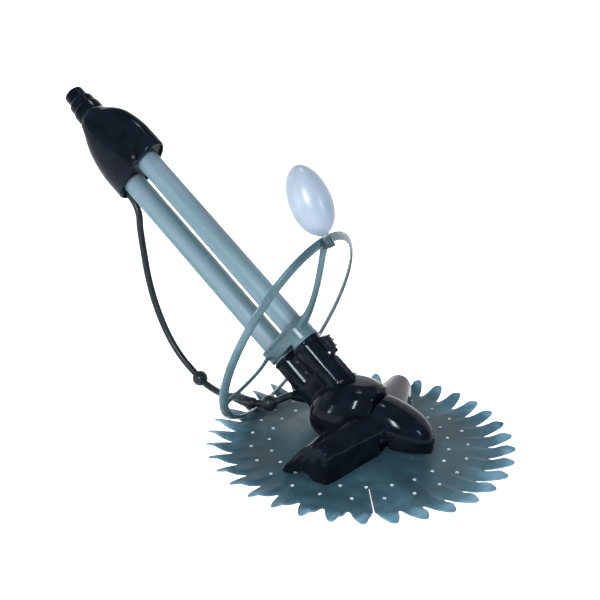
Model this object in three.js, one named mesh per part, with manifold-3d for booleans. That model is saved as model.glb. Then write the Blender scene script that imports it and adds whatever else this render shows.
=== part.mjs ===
// Suction-side swimming-pool cleaner: a hose swivel and an oval bell on top of
// two stacked flow tubes, a two-half head with a rocking flapper inside, a foot
// with a pad and a finned skirt disc, two side hoods, a nose bonnet, a deflector
// wheel with a float, and a bumper strap with two roller beads.
// Units mm, +Z up, floor at z = 0, travel direction -Y, side hoods along +X and -X.
// Pieces are laid out about the foot's vertical axis; the whole group then moves
// back by CENTRE_Y so that its origin is the bottom centre of its box.
import * as THREE from 'three';
import { mergeVertices } from 'three/addons/utils/BufferGeometryUtils.js';
import Module from 'manifold-3d';

const wasm = await Module();
wasm.setup();

// ---------------------------------------------------------------- dimensions
const TILT = 40.43;            // tubes above the horizontal, degrees
const BASE_Y = 72.4, BASE_Z = 90.45; // a point on the pair's centre line
const TUBE_W = 23.4;           // each tube's offset from the pair's centre line
const TUBE_R = 17.1, TUBE_RI = 15.3;
const TUBE_S0 = 12, TUBE_S1 = 424;
const UP_W = 20.6, UP_R = 21.9; // front socket, slightly off its tube's axis
const LO_R = 19.4;             // rear socket
const SOCKET_TOP_UP = 35, SOCKET_TOP_LO = 41;
const BORE_R = 17.5;           // socket bore
const BELL_S0 = 394, BELL_TOP = 514;
const SPIGOT_TIP = 566;
const SPIGOT_RI = 12.6;
const DISC_R = 210, NOTCH_R = 172.6, FINS = 36, DISC_T = 3.6, TIP_RISE = 8.9;
const DISC_PHASE = -56.5;      // the slit's direction from the nose, degrees
const FOOT_R = 27;             // suction throat
const PAD_R = 66;
const WHEEL_Y = 108.5, WHEEL_Z = 146.3, WHEEL_R = 148, WHEEL_TILT = 23.77, WHEEL_YAW = 3.0;
const CENTRE_Y = 151.853;      // middle of the box along Y, from the foot's axis
const rad = (d) => d * Math.PI / 180;

// ---------------------------------------------------------------- helpers
const cleanGeo = (g0) => {
  let g = g0.clone();
  g.deleteAttribute('normal'); g.deleteAttribute('uv');
  if (g.index === null) { /* non-indexed is merged below */ }
  g = mergeVertices(g, 1e-4);
  const idx = g.index.array, out = [];
  for (let i = 0; i < idx.length; i += 3) {
    const a = idx[i], b = idx[i + 1], c = idx[i + 2];
    if (a !== b && b !== c && a !== c) out.push(a, b, c);
  }
  const p = g.attributes.position.array;
  let vol = 0;
  for (let i = 0; i < out.length; i += 3) {
    const [a, b, c] = [out[i] * 3, out[i + 1] * 3, out[i + 2] * 3];
    vol += p[a] * (p[b + 1] * p[c + 2] - p[b + 2] * p[c + 1]) - p[a + 1] * (p[b] * p[c + 2] - p[b + 2] * p[c])
      + p[a + 2] * (p[b] * p[c + 1] - p[b + 1] * p[c]);
  }
  if (vol < 0) for (let i = 0; i < out.length; i += 3) { const t = out[i + 1]; out[i + 1] = out[i + 2]; out[i + 2] = t; }
  g.setIndex(out);
  return g;
};
const solid = (g0) => {
  const g = cleanGeo(g0);
  const m = new wasm.Mesh({ numProp: 3, vertProperties: new Float32Array(g.attributes.position.array), triVerts: new Uint32Array(g.index.array) });
  m.merge();
  return new wasm.Manifold(m);
};
const toGeo = (man) => {
  const m = man.getMesh();
  const g = new THREE.BufferGeometry();
  const n = m.numProp, v = new Float32Array(m.vertProperties.length / n * 3);
  for (let i = 0; i < v.length / 3; i++) for (let k = 0; k < 3; k++) v[i * 3 + k] = m.vertProperties[i * n + k];
  g.setAttribute('position', new THREE.BufferAttribute(v, 3));
  g.setIndex(Array.from(m.triVerts));
  return g;
};
const sum = (...a) => a.reduce((x, y) => x.add(y));
const place = (g, m) => { const h = g.clone(); h.applyMatrix4(m); return h; };
// stack frame: local x = X, local y = -w (down and back), local z = s (up along the tubes)
const STACK = new THREE.Matrix4().makeTranslation(0, BASE_Y, BASE_Z)
  .multiply(new THREE.Matrix4().makeRotationX(-rad(90 - TILT)));
const S = (x, w, s) => new THREE.Vector3(x, -w, s).applyMatrix4(STACK); // world point of a stack point
const move = (x, y, z) => new THREE.Matrix4().makeTranslation(x, y, z);
const cylZ = (r, z0, z1, seg = 32, r2 = r) => {
  const g = new THREE.CylinderGeometry(r2, r, z1 - z0, seg); g.rotateX(Math.PI / 2); g.translate(0, 0, (z0 + z1) / 2); return g;
};
const cylX = (r, x0, x1, seg = 20) => {
  const g = new THREE.CylinderGeometry(r, r, x1 - x0, seg); g.rotateZ(Math.PI / 2); g.translate((x0 + x1) / 2, 0, 0); return g;
};
const box = (x0, x1, y0, y1, z0, z1) => {
  const g = new THREE.BoxGeometry(x1 - x0, y1 - y0, z1 - z0); g.translate((x0 + x1) / 2, (y0 + y1) / 2, (z0 + z1) / 2); return g;
};
const latheZ = (pts, seg = 40) => { // pts: [r, z] closed or from axis to axis
  const g = new THREE.LatheGeometry(pts.map(([r, z]) => new THREE.Vector2(r, z)), seg);
  g.rotateX(Math.PI / 2); return g;
};
const ring = (ri, ro, z0, z1, seg = 32) => latheZ([[ri, z0], [ro, z0], [ro, z1], [ri, z1], [ri, z0]], seg);
// a loft: rows of points around a closed section, on a lathe's topology
const loft = (rows, seg, closed) => {
  const n = rows.length + (closed ? 1 : 0);
  const prof = Array.from({ length: n }, (_, j) => new THREE.Vector2(1, j));
  const g = new THREE.LatheGeometry(prof, seg);
  const p = g.attributes.position;
  for (let i = 0; i <= seg; i++) for (let j = 0; j < n; j++) {
    const q = rows[j % rows.length](2 * Math.PI * (i % seg) / seg);
    p.setXYZ(i * n + j, q[0], q[1], q[2]);
  }
  return g;
};
const sup = (a, b, e, t) => { // superellipse point
  const c = Math.cos(t), s = Math.sin(t), k = 2 / e;
  return [a * Math.sign(c) * Math.abs(c) ** k, b * Math.sign(s) * Math.abs(s) ** k];
};
const sweep = (pts, section, steps) => {
  const curve = new THREE.CatmullRomCurve3(pts, false, 'centripetal');
  return new THREE.ExtrudeGeometry(section, { steps, bevelEnabled: false, extrudePath: curve, curveSegments: 1 });
};
const circleShape = (r, n) => new THREE.Shape(Array.from({ length: n }, (_, i) => new THREE.Vector2(r * Math.cos(2 * Math.PI * i / n), r * Math.sin(2 * Math.PI * i / n))));
const raceShape = (half, r, n = 10) => { // long axis along y
  const p = [];
  for (let i = 0; i <= n; i++) { const t = Math.PI * i / n; p.push(new THREE.Vector2(r * Math.cos(t), half + r * Math.sin(t))); }
  for (let i = 0; i <= n; i++) { const t = Math.PI + Math.PI * i / n; p.push(new THREE.Vector2(r * Math.cos(t), -half + r * Math.sin(t))); }
  return new THREE.Shape(p);
};
const prismZ = (shape, z0, z1) => { const g = new THREE.ExtrudeGeometry(shape, { depth: z1 - z0, bevelEnabled: false, curveSegments: 1 }); g.translate(0, 0, z0); return g; };

const MAT = {
  black: { color: 0x0b0d11, roughness: 0.18, metalness: 0 },
  tube: { color: 0x5b8ba0, roughness: 0.25, metalness: 0 },
  wheel: { color: 0x517a8c, roughness: 0.35, metalness: 0 },
  disc: { color: 0x3d5e6c, roughness: 0.6, metalness: 0 },
  float: { color: 0xb9cfe4, roughness: 0.25, metalness: 0 },
  rubber: { color: 0x111517, roughness: 0.55, metalness: 0 },
  steel: { color: 0x9aa0a4, roughness: 0.35, metalness: 0.9 },
  dark: { color: 0x1b262b, roughness: 0.5, metalness: 0 },
};
const root = new THREE.Group();
const stack = new THREE.Group();
stack.position.set(0, BASE_Y, BASE_Z);
stack.rotation.x = -rad(90 - TILT);
root.add(stack);
const put = (parent, name, geo, mat) => {
  const g = geo instanceof wasm.Manifold ? toGeo(geo) : cleanGeo(geo);
  g.computeVertexNormals();
  const m = new THREE.Mesh(g, new THREE.MeshStandardMaterial(MAT[mat]));
  m.name = name; parent.add(m); return m;
};

// ---------------------------------------------------------------- hose swivel
{
  const z = SPIGOT_TIP, ri = SPIGOT_RI;
  put(stack, 'hose_spigot', latheZ([
    [ri, 499], [17.4, 499], [17.4, 516.3], [22.6, 516.3], [22.6, 529], [20.6, 533], [20.4, 545.5], [16.6, 549],
    [16.1, z], [ri, z], [ri, 499]], 28), 'black');
  put(stack, 'swivel_nut', ring(17.75, 21.4, 499.6, 505.6, 24), 'black');
  put(stack, 'swivel_washer', ring(18.2, 22.2, 514.3, 515.9, 24), 'rubber');
}
// ---------------------------------------------------------------- bell: oval outside, open below, hole on top
const BELL = [ // s, half along w, half along x, exponent, offset w
  [394.0, 56.6, 25.6, 2.3, 1.5], [397, 58.6, 27.0, 2.3, 1.5], [430, 58.6, 27.6, 2.3, 1.4],
  [447, 57.0, 27.4, 2.25, 1.2], [462, 53.8, 27.0, 2.2, 1.0], [476, 49.4, 26.6, 2.15, 0.8],
  [490, 41.8, 26.0, 2.1, 0.5], [505, 30.2, 25.2, 2, 0.1], [514, 24.4, 23.8, 2, 0]];
const bellRow = (s, a, b, e, o) => (t) => { const q = sup(a, b, e, t); return [q[1], -(q[0] + o), s]; };
{
  const T = 2.6, rows = [];
  for (const [s, a, b, e, o] of BELL) rows.push(bellRow(s, a, b, e, o));
  rows.push(bellRow(514, 18, 18, 2, 0));
  rows.push(bellRow(506.3, 18, 18, 2, 0));
  rows.push(bellRow(506.3, 25.5, 22.4, 2, 0));
  for (const [s, a, b, e, o] of [...BELL].reverse()) if (s < 500) rows.push(bellRow(s, a - T, b - T, e, o));
  put(stack, 'top_bell', loft(rows, 28, true), 'black');
}
// plate that carries the two tubes inside the bell
{
  const body = solid(loft([() => [0, -1.5, 397.5], bellRow(397.5, 55.1, 23.7, 2.3, 1.5), bellRow(403.5, 55.3, 23.8, 2.3, 1.5), () => [0, -1.5, 403.5]], 28, false));
  const h1 = solid(place(cylZ(17.45, 390, 410, 24), move(0, -TUBE_W, 0)));
  const h2 = solid(place(cylZ(17.45, 390, 410, 24), move(0, TUBE_W, 0)));
  put(stack, 'tube_plate', body.subtract(h1).subtract(h2), 'black');
}
for (const [nm, sg] of [['upper', 1], ['lower', -1]]) {
  const y = -sg * TUBE_W;
  put(stack, nm + '_tube', place(ring(TUBE_RI, TUBE_R, TUBE_S0, TUBE_S1, 24), move(0, y, 0)), 'tube');
  put(stack, nm + '_tube_seal', place(ring(17.4, 20.2, 403.9, 406.9, 20), move(0, y, 0)), 'rubber');
  put(stack, nm + '_tube_gasket', place(ring(13.6, 17.1, 9.0, 11.6, 20), move(0, y, 0)), 'rubber');
  put(stack, 'valve_seat_' + nm, place(ring(12.4, 14.9, -13.6, -9.2, 20), move(0, y, 0)), 'rubber');
}
for (const [nm, sg] of [['left', -1], ['right', 1]]) { // set screws that hold the bell on its plate
  const g = latheZ([[0, 0], [3.2, 0], [3.2, 1.6], [2.0, 2.4], [0, 2.4]], 12);
  g.rotateY(sg * Math.PI / 2); g.translate(sg * 28.0, -28, 402);
  put(stack, 'bell_screw_' + nm, g, 'steel');
}

// ---------------------------------------------------------------- head: two halves
const bodyOuter = (d) => { // d = growth, used for clearances
  const up = solid(place(place(cylZ(UP_R + d, -56, SOCKET_TOP_UP + d, 28), move(0, -UP_W, 0)), STACK));
  const lo = solid(place(place(cylZ(LO_R + d, -56, SOCKET_TOP_LO + d, 28), move(0, TUBE_W, 0)), STACK));
  const web = solid(place(box(-14 - d, 14 + d, -25, 25, -50, 31 + d), STACK));
  const wide = solid(place(box(-20.6 - d, 20.6 + d, -24, 26, -62, -8 + d), STACK));
  const flange = solid(place(box(-2.6 - d, 2.6 + d, -(47.2 + d), -30, -48, -9 + d), STACK));
  const R = (z, cy, hy, hx, e) => (t) => { const q = sup(hx + d, hy + d, e, t); return [q[0], cy + q[1], z]; };
  const dome = solid(loft([() => [0, 12, 36 - d], R(36 - d, 13, 54, 50, 2.5), R(46, 13, 54, 50, 2.5), R(58, 12, 51, 48, 2.5), R(70, 9, 47, 43, 2.4),
    R(80, 5, 42, 36, 2.3), R(90 + d, 3, 26, 20, 2), () => [0, 3, 90 + d]], 28, false));
  const cut = solid(box(-90, 90, -31 - d, 160, 36 - d, 220));
  return sum(up, lo, web, wide, flange, dome).intersect(cut);
};
const outer = bodyOuter(0);
const tubeBore = (y) => sum(
  solid(place(place(cylZ(BORE_R, 8.6, 60, 24), move(0, y, 0)), STACK)),
  solid(place(place(cylZ(15.25, -20, 9, 24), move(0, y, 0)), STACK)));
const ductShape = new THREE.Shape([[-28, -14], [28, -14], [28, -20], [17, -60], [15, -70], [-15, -70], [-17, -60], [-28, -20]].map(([w, s]) => new THREE.Vector2(-w, s)));
const duct = (() => { // extruded along x in the stack frame
  const g = new THREE.ExtrudeGeometry(ductShape, { depth: 33, bevelEnabled: false });
  // shape x -> local y, shape y -> local z, depth -> local x
  const m = new THREE.Matrix4().set(0, 0, 1, -16.5, 1, 0, 0, 0, 0, 1, 0, 0, 0, 0, 0, 1);
  g.applyMatrix4(m); return solid(place(g, STACK));
})();
const throat = sum(
  solid(place(cylZ(16.4, -108, -60, 20), STACK)).intersect(solid(box(-60, 60, -60, 80, 30, 120))),
  solid(cylZ(24, 30, 52, 24)));
const pinHole = solid(place(place(cylX(2.8, -21.5, 21.5, 20), move(0, 0, -60)), STACK));
const screwSpots = [ // stack frame w, s
  [0, 22], [0, 2], [36, -40], [-14, -52]];
const screwHoles = screwSpots.map(([w, s]) => solid(place(place(cylX(1.9, -60, 16, 12), move(0, -w, s)), STACK)));
let whole = outer.subtract(tubeBore(-TUBE_W)).subtract(tubeBore(TUBE_W)).subtract(duct).subtract(throat).subtract(pinHole)
  .subtract(solid(place(place(cylX(2.1, -6.9, 6.9, 12), move(0, 0, 400)), STACK)));
const cavityFree = (() => { // side cavities between the wall and the duct, in each half
  const inner = (() => {
    const R = (z, cy, hy, hx, e) => (t) => { const q = sup(hx, hy, e, t); return [q[0], cy + q[1], z]; };
    return solid(loft([() => [0, 12, 39], R(39, 13, 50, 46.6, 2.5), R(46, 13, 50, 46.6, 2.5), R(58, 12, 47, 44.6, 2.5), R(70, 9, 43, 39.6, 2.4),
      R(79, 5, 37, 32, 2.3), () => [0, 5, 79]], 28, false)).intersect(solid(box(-90, 90, -27.6, 160, 30, 200)));
  })();
  const keepDuct = sum(
    solid(place(box(-20.6, 20.6, -34, 34, -76, 10), STACK)),
    solid(cylZ(28, 30, 60, 24)),
    solid(place(place(cylZ(UP_R, -56, 40, 28), move(0, -UP_W, 0)), STACK)),
    solid(place(place(cylZ(LO_R, -56, 40, 28), move(0, TUBE_W, 0)), STACK)));
  return inner.subtract(keepDuct);
})();
whole = whole.subtract(cavityFree);
const earL = (x0, x1) => solid(place(box(x0, x1, -50.5, -40, -4.5, 4.5), STACK)).subtract(solid(place(place(cylX(1.9, -12, 12, 14), move(0, -46.6, 0)), STACK)));
const bore2 = tubeBore(-TUBE_W);
const half = (sg) => {
  const b = sg < 0 ? box(-120, -0.18, -80, 220, 0, 260) : box(0.18, 120, -80, 220, 0, 260);
  let h = whole.intersect(solid(b));
  h = h.add((sg < 0 ? earL(-7.6, -4.7) : earL(4.7, 7.6)).subtract(bore2));
  for (const q of screwHoles) h = h.subtract(q);
  const parts = h.decompose().sort((a, c) => Math.abs(c.volume()) - Math.abs(a.volume()));
  return parts[0];
};
put(root, 'body_left', half(-1), 'black');
put(root, 'body_right', half(1), 'black');
screwSpots.forEach(([w, s], i) => { // long screws from the left side
  const xo = i < 2 ? -14 : (i === 2 ? -20.4 : -20.6);
  const head = xo - 0.3, g = latheZ([[0, 0], [1.55, 0], [1.55, 9 - xo], [3.4, 9 - xo], [3.4, 10.4 - xo], [2.4, 11.2 - xo], [0, 11.2 - xo]].map(([r, z]) => [r, z]), 12);
  // the shank runs from x = 8.7 down to the head on the left face
  g.rotateY(-Math.PI / 2); g.translate(8.7, -w, s);
  put(stack, 'body_screw_' + (i + 1), g, 'steel');
});

// ---------------------------------------------------------------- flapper and its pin
{
  const sh = new THREE.Shape([[-4.6, -60], [4.6, -60], [9.6, -24], [8.0, -19.5], [0, -17.6], [-8.0, -19.5], [-9.6, -24]].map(([w, s]) => new THREE.Vector2(-w, s)));
  const g = new THREE.ExtrudeGeometry(sh, { depth: 30, bevelEnabled: false });
  g.applyMatrix4(new THREE.Matrix4().set(0, 0, 1, -15, 1, 0, 0, 0, 0, 1, 0, 0, 0, 0, 0, 1));
  const hub = solid(place(cylX(5.2, -15, 15, 20), move(0, 0, -60)));
  const hole = solid(place(cylX(2.62, -20, 20, 20), move(0, 0, -60)));
  put(stack, 'flapper', solid(g).add(hub).subtract(hole), 'rubber');
  put(stack, 'flapper_pin', place(cylX(2.4, -20.8, 20.8, 18), move(0, 0, -60)), 'steel');
}

// ---------------------------------------------------------------- foot
put(root, 'foot_collar', latheZ([[FOOT_R, 2.6], [45.2, 2.6], [45.2, 14.3], [54.5, 14.3], [55.5, 19.5], [59, 20.5], [59.5, 24.5],
  [63, 25.5], [63.5, 29.5], [67.5, 30.5], [68, 35.6], [FOOT_R, 35.6], [FOOT_R, 2.6]], 32), 'black');
{
  // pad: a ring with six water grooves in its underside
  let pad = solid(latheZ([[45.7, 0], [PAD_R - 2, 0], [PAD_R, 2], [PAD_R, 9.4], [45.7, 9.4], [45.7, 0]], 32));
  const lip = solid(latheZ([[28, 0.8], [46.5, 0.8], [46.5, 2.2], [28, 2.2], [28, 0.8]], 32));
  pad = pad.add(lip);
  for (let i = 0; i < 6; i++) {
    const g = box(-3, 3, 50, 80, -1, 4); g.rotateZ(i * Math.PI / 3 + Math.PI / 6);
    pad = pad.subtract(solid(g));
  }
  for (let i = 0; i < 3; i++) { const a = rad(90 + 120 * i); pad = pad.subtract(solid(place(cylZ(1.9, -1, 12, 12), move(36 * Math.cos(a), 36 * Math.sin(a), 0)))); }
  put(root, 'foot_pad', pad, 'rubber');
  for (let i = 0; i < 3; i++) {
    const a = rad(90 + 120 * i);
    put(root, 'pad_screw_' + (i + 1), place(latheZ([[0, 0.05], [3.4, 0.05], [3.4, 0.5], [1.6, 0.5], [1.6, 2.35], [0, 2.35]].map(([r, z]) => [r, z]), 12), move(36 * Math.cos(a), 36 * Math.sin(a), 0)), 'steel');
  }
}
// skirt disc with fins
const discTop = (r) => (r < 64 ? 13.6 : r < 114 ? 13.6 - (r - 64) / 50 * 10 : DISC_T + (r > 172 ? TIP_RISE * ((r - 172) / 38) ** 1.2 : 0));
{
  const inner = solid(latheZ([[46.2, 10], [64, 10], [114, 0], [170.5, 0], [170.5, DISC_T], [114, DISC_T], [64, 13.6], [46.2, 13.6], [46.2, 10]], 36));
  const pts = [];
  const prof = [[-4.4, NOTCH_R + 1.2], [-2.8, NOTCH_R + 18], [-1.2, DISC_R - 1.2], [0.6, DISC_R], [2.6, NOTCH_R + 24], [4.4, NOTCH_R + 1.2]];
  for (let k = 0; k < FINS; k++) for (const [da, r] of prof) {
    const a = rad(DISC_PHASE + 5 + 10 * k + da); pts.push(new THREE.Vector2(r * Math.sin(a), -r * Math.cos(a)));
  }
  const sh = new THREE.Shape(pts);
  sh.holes.push(new THREE.Path(Array.from({ length: 36 }, (_, i) => new THREE.Vector2(168 * Math.cos(i * Math.PI / 18), 168 * Math.sin(i * Math.PI / 18)))));
  const g = new THREE.ExtrudeGeometry(sh, { depth: DISC_T, bevelEnabled: false });
  let o = solid(g).add(inner);
  const slit = box(-0.8, 0.8, -174, -120, -2, 9); slit.rotateZ(rad(DISC_PHASE)); // a cut along one notch line
  o = o.subtract(solid(slit));
  const geo = toGeo(o), p = geo.attributes.position;
  for (let i = 0; i < p.count; i++) {
    const r = Math.hypot(p.getX(i), p.getY(i));
    if (r > 172) p.setZ(i, p.getZ(i) + TIP_RISE * ((r - 172) / 38) ** 1.2);
  }
  put(root, 'disc', geo, 'disc');
}

// ---------------------------------------------------------------- nose bonnet
const noseRows = (d) => { // y, half width, top z, exponent
  const st = [[-31.6 + (d < 0 ? 20 : 0), 35.0, 76.0], [-45, 34.6, 74.6], [-60, 33.4, 70.4], [-74, 31.0, 65.2], [-86, 27.4, 59.4], [-96, 22.2, 51.6], [-103, 16.0, 43.6], [-107.4, 9.5, 35.0]];
  return st.map(([y, hx, zt]) => {
    const hx2 = Math.max(hx + d, 1), zt2 = zt + d;
    const zb = 12.5 - (d < 0 ? 30 : d);
    const zc = 26, yy = y - (y < -100 ? d : 0);
    return (t) => { // t from 0, right side, up over the top
      const c = Math.cos(t), s = Math.sin(t), k = 2 / 2.5;
      const x = hx2 * Math.sign(c) * Math.abs(c) ** k;
      const v = Math.abs(s) ** k;
      return [x, yy, s >= 0 ? zc + (zt2 - zc) * v : zc - (zc - zb) * v];
    };
  });
};
const noseSolid = (d) => {
  const rows = noseRows(d);
  const y0 = -31.6 + (d < 0 ? 20 : d > 0 ? d : 0);
  const first = rows[0];
  const shifted = (t) => { const q = first(t); return [q[0], y0, q[2]]; };
  return solid(loft([() => [0, y0, 30], shifted, ...rows.slice(1), () => [0, -109 - d, 27]], 24, false));
};
{
  const o = noseSolid(0), i = noseSolid(-2.6);
  const feet = solid(latheZ([[0, -2], [140, -2], ...[140, 114, 64].map((r) => [r, discTop(r) + 1.3]), [0, 14.9], [0, -2]], 32));
  let nose = o.subtract(i).subtract(feet).subtract(bodyOuter(0.5));
  nose = nose.subtract(solid(cylZ(69, 0, 36.3, 32)));
  const parts = nose.decompose().sort((a, c) => c.volume() - a.volume());
  put(root, 'nose_cover', parts[0], 'black');
}
put(root, 'nose_weight', (() => {
  const g = new THREE.BoxGeometry(34, 22, 26, 2, 2, 2); g.translate(0, -84.5, 31);
  const p = g.attributes.position;
  for (let i = 0; i < p.count; i++) if (p.getY(i) < -90) p.setX(i, p.getX(i) * 0.72);
  return g;
})(), 'steel');

// ---------------------------------------------------------------- side hoods
const hoodProfile = (x, d) => { // closed outline in y,z of the outside, d = inset
  const u = (x - 24) / 104;
  const yf = -60 + 37 * u + d, yr = 44 - d, h = 62 - 9 * u - d, yc = -18 + 15 * u, zb = 4;
  const L = yr - yc;
  return [[yf + 1.5, zb], [yf, zb + 0.30 * (h - zb)], [yf + 0.3, zb + 0.60 * (h - zb)], [yf + 4, zb + 0.82 * (h - zb)], [yf + 0.55 * (yc - yf), zb + 0.955 * (h - zb)],
    [yc, h], [yc + 0.22 * L, zb + 0.93 * (h - zb)], [yc + 0.45 * L, zb + 0.74 * (h - zb)], [yc + 0.68 * L, zb + 0.47 * (h - zb)], [yc + 0.88 * L, zb + 0.20 * (h - zb)], [yr, zb + 0.04 * (h - zb)], [yr, zb]];
};
const hoodSolid = (xs, d, drop = 0) => {
  const rows = xs.map((x) => { const p = hoodProfile(x, d).map(([y, z]) => [y, z <= 4.001 ? z - drop : z]); return (t) => { const i = Math.round(t / (2 * Math.PI) * p.length) % p.length; return [x, p[i][0], p[i][1]]; }; });
  const c0 = [xs[0], 0, 20], c1 = [xs[xs.length - 1], 5, 20];
  return solid(loft([() => c0, ...rows, () => c1], 12, false));
};
{
  const xs = [24, 44, 64, 84, 104, 120, 128];
  const o = hoodSolid(xs, 0);
  const i = hoodSolid([10, 24, 44, 64, 84, 104, 125.2], 2.6, 20);
  const feet = solid(latheZ([[0, -2], [240, -2], [240, 8], [172, 5.2], [114, 5.2], [64, 15.0], [0, 15.0], [0, -2]], 36));
  let h = o.subtract(i).subtract(feet);
  // arched cut under the end wall
  const arch = solid(place(cylX(19, 120, 140, 24), move(0, 14, 3.5 - 9)));
  h = h.subtract(arch);
  h = h.subtract(bodyOuter(0.5)).subtract(noseSolid(0.6)).subtract(solid(cylZ(68.8, 0, 36.2, 32)));
  const parts = h.decompose().sort((a, c) => c.volume() - a.volume());
  const right = toGeo(parts[0]);
  put(root, 'hood_right', right, 'black');
  const left = toGeo(parts[0]); left.scale(-1, 1, 1);
  put(root, 'hood_left', left, 'black');
}

// ---------------------------------------------------------------- deflector wheel
const WX = new THREE.Vector3(1, 0, 0).applyAxisAngle(new THREE.Vector3(0, 0, 1), rad(WHEEL_YAW));
const WW = new THREE.Vector3(0, -Math.sin(rad(WHEEL_TILT)), Math.cos(rad(WHEEL_TILT))).applyAxisAngle(new THREE.Vector3(0, 0, 1), rad(WHEEL_YAW));
const WN = new THREE.Vector3(0, -Math.cos(rad(WHEEL_TILT)), -Math.sin(rad(WHEEL_TILT))).applyAxisAngle(new THREE.Vector3(0, 0, 1), rad(WHEEL_YAW));
const WC = new THREE.Vector3(0, WHEEL_Y, WHEEL_Z);
const rimPoint = (al, r = WHEEL_R, k = 0) => WC.clone().addScaledVector(WX, r * Math.cos(rad(al))).addScaledVector(WW, r * Math.sin(rad(al))).addScaledVector(WN, k);
{
  // rim: a strip 13 by 4 mm lying on a shallow cone
  const sec = [[-6.4, 0], [-5.2, -1.9], [5.2, -1.9], [6.4, 0], [5.2, 1.9], [-5.2, 1.9]];
  const pr = sec.map(([u, v]) => [WHEEL_R + 0.8 * u + 0.6 * v, -0.6 * u + 0.8 * v]); // radial, along the axis
  pr.push(pr[0]);
  const m = new THREE.Matrix4().makeBasis(WX, WW, WX.clone().cross(WW)).setPosition(WC);
  const sgn = WX.clone().cross(WW).dot(WN) > 0 ? 1 : -1;
  const rimG = latheZ(pr.map(([r, k]) => [r, sgn * k]), 60);
  let w = solid(place(rimG, m));
  // oval hub that wraps both tubes
  const hubOut = solid(place(place(prismZ(raceShape(TUBE_W, 20.6), 44, 66), move(0, 0, 0)), STACK));
  const hubLip = solid(place(prismZ(raceShape(TUBE_W, 23.0), 62, 66), STACK));
  const hubCol = solid(place(place(cylZ(20.6, 35.7, 46, 24), move(0, -TUBE_W, 0)), STACK));
  w = sum(w, hubOut, hubLip, hubCol);
  // spokes
  const spoke = (al, hx, hw, hs, bow) => {
    const p2 = rimPoint(al, WHEEL_R - 3.5, 0), p0 = S(hx, hw, hs);
    const mid = p0.clone().lerp(p2, 0.45).addScaledVector(WN, bow);
    const q0 = p0.clone().lerp(mid, 0.5).addScaledVector(WN, bow * 0.35), q1 = mid.clone().lerp(p2, 0.5).addScaledVector(WN, bow * 0.15);
    const sh = new THREE.Shape(Array.from({ length: 8 }, (_, i) => new THREE.Vector2(3.6 * Math.cos(i * Math.PI / 4), 5.2 * Math.sin(i * Math.PI / 4))));
    return solid(sweep([p0, q0, mid, q1, p2], sh, 8));
  };
  w = sum(w, spoke(95, -2, 43, 58, 6), spoke(213, -13, -33, 60, 4), spoke(335, 17, 14, 58, 4));
  const inner = solid(place(prismZ(raceShape(TUBE_W, 17.55), 30, 70), STACK));
  w = w.subtract(inner);
  // the two tubes nearly touch: keep the race hole one opening
  w = w.subtract(solid(place(place(cylZ(17.55, 30, 70, 24), move(0, -TUBE_W, 0)), STACK)));
  const parts = w.decompose().sort((a, c) => c.volume() - a.volume());
  put(root, 'deflector_wheel', parts[0], 'wheel');
}

// ---------------------------------------------------------------- float on its clip
const FA = rimPoint(98, WHEEL_R + 9.6, 1);         // where the stub leaves the clip
const FD = new THREE.Vector3(-0.02, 0.44, 0.89).normalize();
const orient = (dir, pos) => new THREE.Matrix4().makeRotationFromQuaternion(new THREE.Quaternion().setFromUnitVectors(new THREE.Vector3(0, 0, 1), dir)).setPosition(pos);
{
  const L = 96, A = 27.6, out = [[2.2, -11], [4.6, -11], [4.6, 2.0]], n = 8, zc = 2 + L / 2;
  for (let i = 0; i < n; i++) { const t = Math.PI * (i + 1.1) / (n + 1.1); out.push([A * Math.sin(t) * (1 + 0.06 * Math.cos(t)), zc - L / 2 * Math.cos(t)]); }
  out.push([0, zc + L / 2]); out.push([0, zc + L / 2 - 2.4]);
  for (let i = n - 1; i >= 0; i--) { const t = Math.PI * (i + 1.1) / (n + 1.1); const r = (A - 2.4) * Math.sin(t) * (1 + 0.06 * Math.cos(t)); if (r > 2.4) out.push([r, zc - (L / 2 - 2.4) * Math.cos(t)]); }
  out.push([2.2, 4.8]);
  // from the axis at the tip, over the outside, to the mouth of the stub and back inside
  const prof = [];
  const o = out; // open list: stub inner, outside, tip, inside
  const outside = o.slice(1, 3 + n);
  const inside = o.slice(3 + n + 2);
  prof.push([0, zc + L / 2], ...outside.slice().reverse(), [2.2, -11], ...inside.slice().reverse(), [0, zc + L / 2 - 2.4]);
  put(root, 'float', place(latheZ(prof, 20), orient(FD, FA)), 'float');
}
{
  const c = solid(place(cylZ(7.6, -10.6, -1.2, 20), orient(FD, FA)));
  const bore = solid(place(cylZ(5.0, -12, 4, 20), orient(FD, FA)));
  const foot = solid(place(box(-6.5, 6.5, -5.5, 5.5, -16, -9.5), orient(FD, FA)));
  const sec = [[-6.6, -2.3], [6.6, -2.3], [6.6, 2.3], [-6.6, 2.3]];
  const pr = sec.map(([u, v]) => [WHEEL_R + 0.8 * u + 0.6 * v, -0.6 * u + 0.8 * v]); pr.push(pr[0]);
  const m = new THREE.Matrix4().makeBasis(WX, WW, WX.clone().cross(WW)).setPosition(WC);
  const sgn = WX.clone().cross(WW).dot(WN) > 0 ? 1 : -1;
  const rimBig = solid(place(latheZ(pr.map(([r, k]) => [r, sgn * k]), 60), m));
  let clip = c.add(foot).subtract(bore).subtract(rimBig);
  const parts = clip.decompose().sort((a, b) => b.volume() - a.volume());
  put(root, 'float_clip', parts[0], 'dark');
}

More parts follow.
